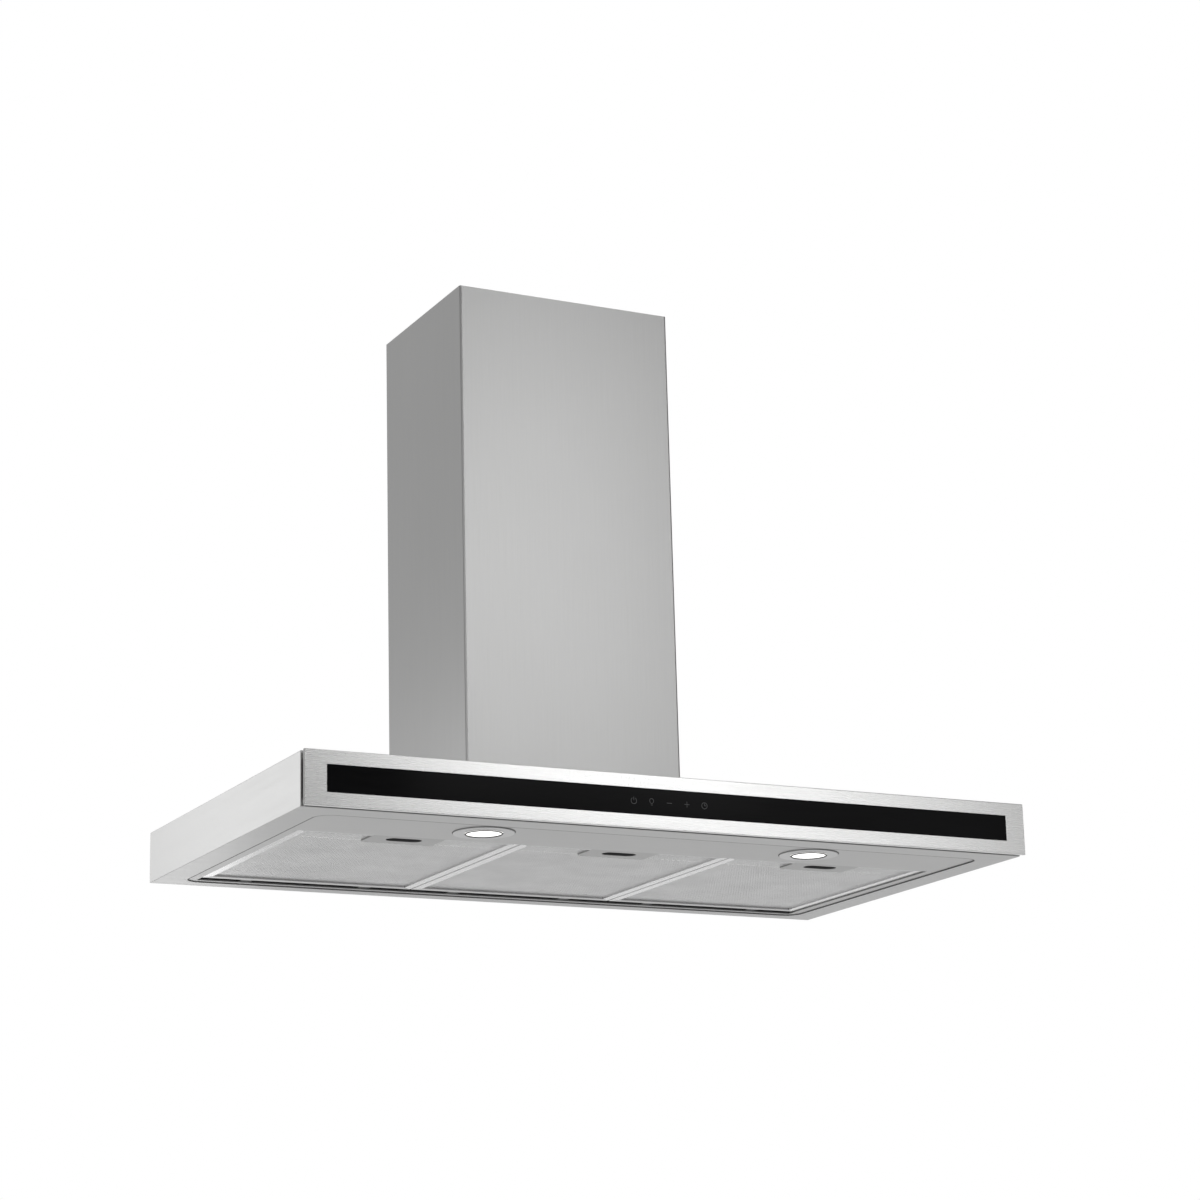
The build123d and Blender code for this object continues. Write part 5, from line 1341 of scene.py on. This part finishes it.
@dataclass
class TouchSymbols:
    """Generic symbols printed on the touch strip: power, lamp, less, more and timer."""

    half_size: float = 0.0040
    stroke: float = 0.0007
    print_depth: float = 0.00008
    ring_steps: int = 28

    def middle_of(self, stroke: Bar | Arc, middle: Vector) -> Vector:
        """Middle of a stroke, from the middle of its symbol."""
        right, up = stroke.place
        return middle + Vector((right, 0.0, up)) * self.half_size

    def bar(self, mesh: BMesh, stroke: Bar, middle: Vector) -> None:
        """Add a straight stroke.

        Args:
            mesh: bmesh that takes it, flat in x and z.
            stroke: the stroke.
            middle: middle of its symbol.
        """
        place = Matrix.Translation(self.middle_of(stroke, middle))
        turn = Matrix.Rotation(-math.radians(stroke.angle), 4, "Y")
        size = Matrix.Diagonal((self.half_size * stroke.length, self.print_depth, self.stroke, 1.0))
        bmesh.ops.create_cube(mesh, size=1.0, matrix=place @ turn @ size)

    def arc(self, mesh: BMesh, stroke: Arc, middle: Vector) -> None:
        """Add a round stroke.

        Args:
            mesh: bmesh that takes it, flat in x and z.
            stroke: the stroke.
            middle: middle of its symbol.
        """
        centre = self.middle_of(stroke, middle)
        start = math.radians(stroke.start)
        outward = Vector((math.cos(start), 0.0, math.sin(start)))
        half, depth = self.stroke / 2, self.print_depth / 2
        section = []
        for across, along in ((-half, -depth), (half, -depth), (half, depth), (-half, depth)):
            corner = centre + outward * (self.half_size * stroke.radius + across)
            corner.y = along
            section.append(mesh.verts.new(corner))
        edges = [mesh.edges.new(pair) for pair in zip(section, section[1:] + section[:1])]
        full = stroke.sweep == FULL_TURN
        ends = [] if full else [mesh.faces.new(section)]
        bmesh.ops.spin(
            mesh,
            geom=section + edges + ends,
            cent=centre,
            axis=(0, -1, 0),
            angle=math.radians(stroke.sweep),
            steps=self.ring_steps,
            use_merge=full,
        )

    def build(self, material: Material) -> bpy.types.Object:
        """Print the symbols over the touch pads.

        Args:
            material: their finish.

        Returns:
            The new piece.
        """
        pads_low, pads_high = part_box("touch_pads")
        glass_low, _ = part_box("control_glass")
        pad = pads_high.z - pads_low.z
        pitch = (pads_high.x - pads_low.x - pad) / (len(Symbol) - 1)
        level = (pads_low.z + pads_high.z) / 2
        mesh = bmesh.new()
        for index, symbol in enumerate(Symbol):
            middle = Vector((pads_low.x + pad / 2 + index * pitch, 0.0, level))
            for stroke in symbol.value:
                draw = self.arc if isinstance(stroke, Arc) else self.bar
                draw(mesh, stroke, middle)
        bmesh.ops.translate(mesh, vec=(0, glass_low.y - self.print_depth / 2, 0), verts=mesh.verts)
        bmesh.ops.recalc_face_normals(mesh, faces=mesh.faces[:])
        return finished_piece("touch_symbols", mesh, material, HOOD)


@dataclass(frozen=True)
class SoftBox:
    """Rectangular light: its middle, the point that it faces, its width and height, and its watts."""

    name: str
    place: Triple
    aim: Triple
    size: Pair
    power: float

    def hang(self) -> None:
        """Hang the light, out of the camera's sight."""
        data = bpy.data.lights.new(self.name, "AREA")
        data.shape = "RECTANGLE"
        data.size, data.size_y = self.size
        data.energy = self.power
        light = bpy.data.objects.new(self.name, data)
        light.location = self.place
        light.rotation_euler = (Vector(self.aim) - Vector(self.place)).to_track_quat("-Z", "Y").to_euler()
        light.visible_camera = False
        bpy.context.scene.collection.objects.link(light)


SOFT_BOXES = (
    SoftBox("low_box", (2.08, -3.6, 0.30), (0.0, -0.4, -0.15), (0.85, 0.9), 3.4),
    SoftBox("high_box", (1.45, -3.6, 1.26), (0.0, -0.3, 0.2), (0.8, 1.5), 10.9),
    SoftBox("left_fill", (-2.6, -2.4, 0.45), (-0.2, -0.25, 0.1), (4.6, 2.6), 19.0),
    SoftBox("front_fill", (-0.9, -3.8, 0.5), (0.0, -0.25, 0.1), (2.0, 2.6), 8.5),
    SoftBox("left_card", (-1.06, 0.75, 0.0), (-0.45, -0.25, -0.18), (0.7, 0.5), 0.86),
    SoftBox("rear_strip", (2.32, 3.0, -0.82), (0.0, -0.2, -0.2), (2.8, 0.34), 2.45),
    SoftBox("rear_card", (0.00, 2.30, -0.84), (-0.46, -0.20, -0.03), (0.95, 0.60), 2.1),
    SoftBox("overhead", (0.0, -0.6, 3.2), (0.0, -0.25, 0.0), (3.0, 3.0), 13.0),
)


@dataclass
class Studio:
    """Floor, surroundings, lights and camera of the picture."""

    floor_drop: float = 2.8
    floor_size: float = 19.0
    floor_faces: int = 4
    floor_tone: float = 0.86
    floor_glow: float = 0.42
    backdrop: float = 1.0
    surround_front: float = 0.13
    surround_back: float = 0.58
    front_to_back: Pair = (-0.2, 0.7)
    surround_below: float = 0.85
    below_to_level: Pair = (-0.3, 0.0)
    image_side: float = 1200.0
    focal_length: float = 3028.2
    sensor: float = 36.0
    camera_place: Triple = (-1.5734, -3.3848, -0.8288)
    yaw: float = 0.4724
    pitch: float = 0.2631
    roll: float = 0.0260

    def floor(self) -> None:
        """Lay the floor well below the hood."""
        half = self.floor_size / 2
        level = CAD_BOX[0].z - self.floor_drop
        low, high = Vector((-half, -half, level)), Vector((half, half, level))
        floor = placed("floor", plate(low, high, self.floor_faces, self.floor_faces))
        paper = StudioFloor("floor_paper", self.floor_tone, self.floor_glow, half)
        floor.data.materials.append(paper.material())

    def surroundings(self) -> None:
        """Make the studio's even light, brighter from behind, and a white backdrop for the camera."""
        world = bpy.data.worlds.new("studio")
        world.use_nodes = True
        bpy.context.scene.world = world
        wiring = Wiring(world.node_tree)
        direction = wiring.node("TexCoord").outputs["Generated"]
        _, back, up = wiring.axes(direction)
        rise = wiring.spread(back, self.surround_front, self.surround_back, self.front_to_back)
        fall = wiring.spread(up, self.surround_below, 1.0, self.below_to_level)
        light = wiring.nodes["Background"]
        wiring.feed(light, Color=WHITE, Strength=wiring.maths("MULTIPLY", rise, fall))
        white = wiring.node("Background", Color=WHITE, Strength=self.backdrop)
        path = wiring.node("LightPath")
        mix = wiring.node("MixShader", Fac=path.outputs["Is Camera Ray"])
        for socket, shader in zip(mix.inputs[1:], (light, white)):
            wiring.fill(socket, shader.outputs["Background"])
        wiring.feed(wiring.nodes["World Output"], Surface=mix.outputs["Shader"])

    def camera(self) -> None:
        """Set the camera where the photograph was taken from."""
        forward = Vector((
            math.sin(self.yaw) * math.cos(self.pitch),
            math.cos(self.yaw) * math.cos(self.pitch),
            math.sin(self.pitch),
        ))
        level = Vector((math.cos(self.yaw), -math.sin(self.yaw), 0.0))
        down = forward.cross(level)
        right = level * math.cos(self.roll) + down * math.sin(self.roll)
        up = right.cross(forward)
        turn = Matrix((right, up, -forward)).transposed().to_4x4()
        data = bpy.data.cameras.new("camera")
        data.sensor_width = self.sensor
        data.lens = self.focal_length / self.image_side * self.sensor
        camera = bpy.data.objects.new("camera", data)
        camera.matrix_world = Matrix.Translation(self.camera_place) @ turn
        bpy.context.scene.collection.objects.link(camera)
        bpy.context.scene.camera = camera

    def build(self) -> None:
        """Make the whole studio."""
        bpy.context.scene.view_settings.view_transform = "Standard"
        self.floor()
        self.surroundings()
        for soft_box in SOFT_BOXES:
            soft_box.hang()
            LOG.info("%s: %.1f W", soft_box.name, soft_box.power)
        self.camera()


def write_sizes() -> None:
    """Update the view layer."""
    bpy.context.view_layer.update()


def main() -> None:
    """Dress the hood piece by piece and set up the studio."""
    logging.basicConfig(level=logging.INFO, format="%(name)s %(message)s")
    made = PackedPieces().dress()
    expanded = EXPANDED_ALUMINIUM.material()
    for side in Side:
        FilterFacing(side).build(expanded)
        LatchSpring(side).build(made["spring_steel"])
    for node, body in (("casing_screws", HOOD), ("chimney_screws", "chimney_top")):
        RecessedScrews(node, body).build(made["screw_steel"], "screw_steel")
    # dark beads as painted shade of the shadow lines round the panel and lamps
    shadow_bead = SHADOW_BEAD_RUBBER.material()
    PanelShadowBead().build(shadow_bead)
    for side in (Side.LEFT, Side.RIGHT):
        LampRings(side).build(shadow_bead, made["rubber_pads"])
    TouchSymbols().build(SYMBOL_INK.material())
    Studio().build()
    write_sizes()


if __name__ == "__main__":
    main()
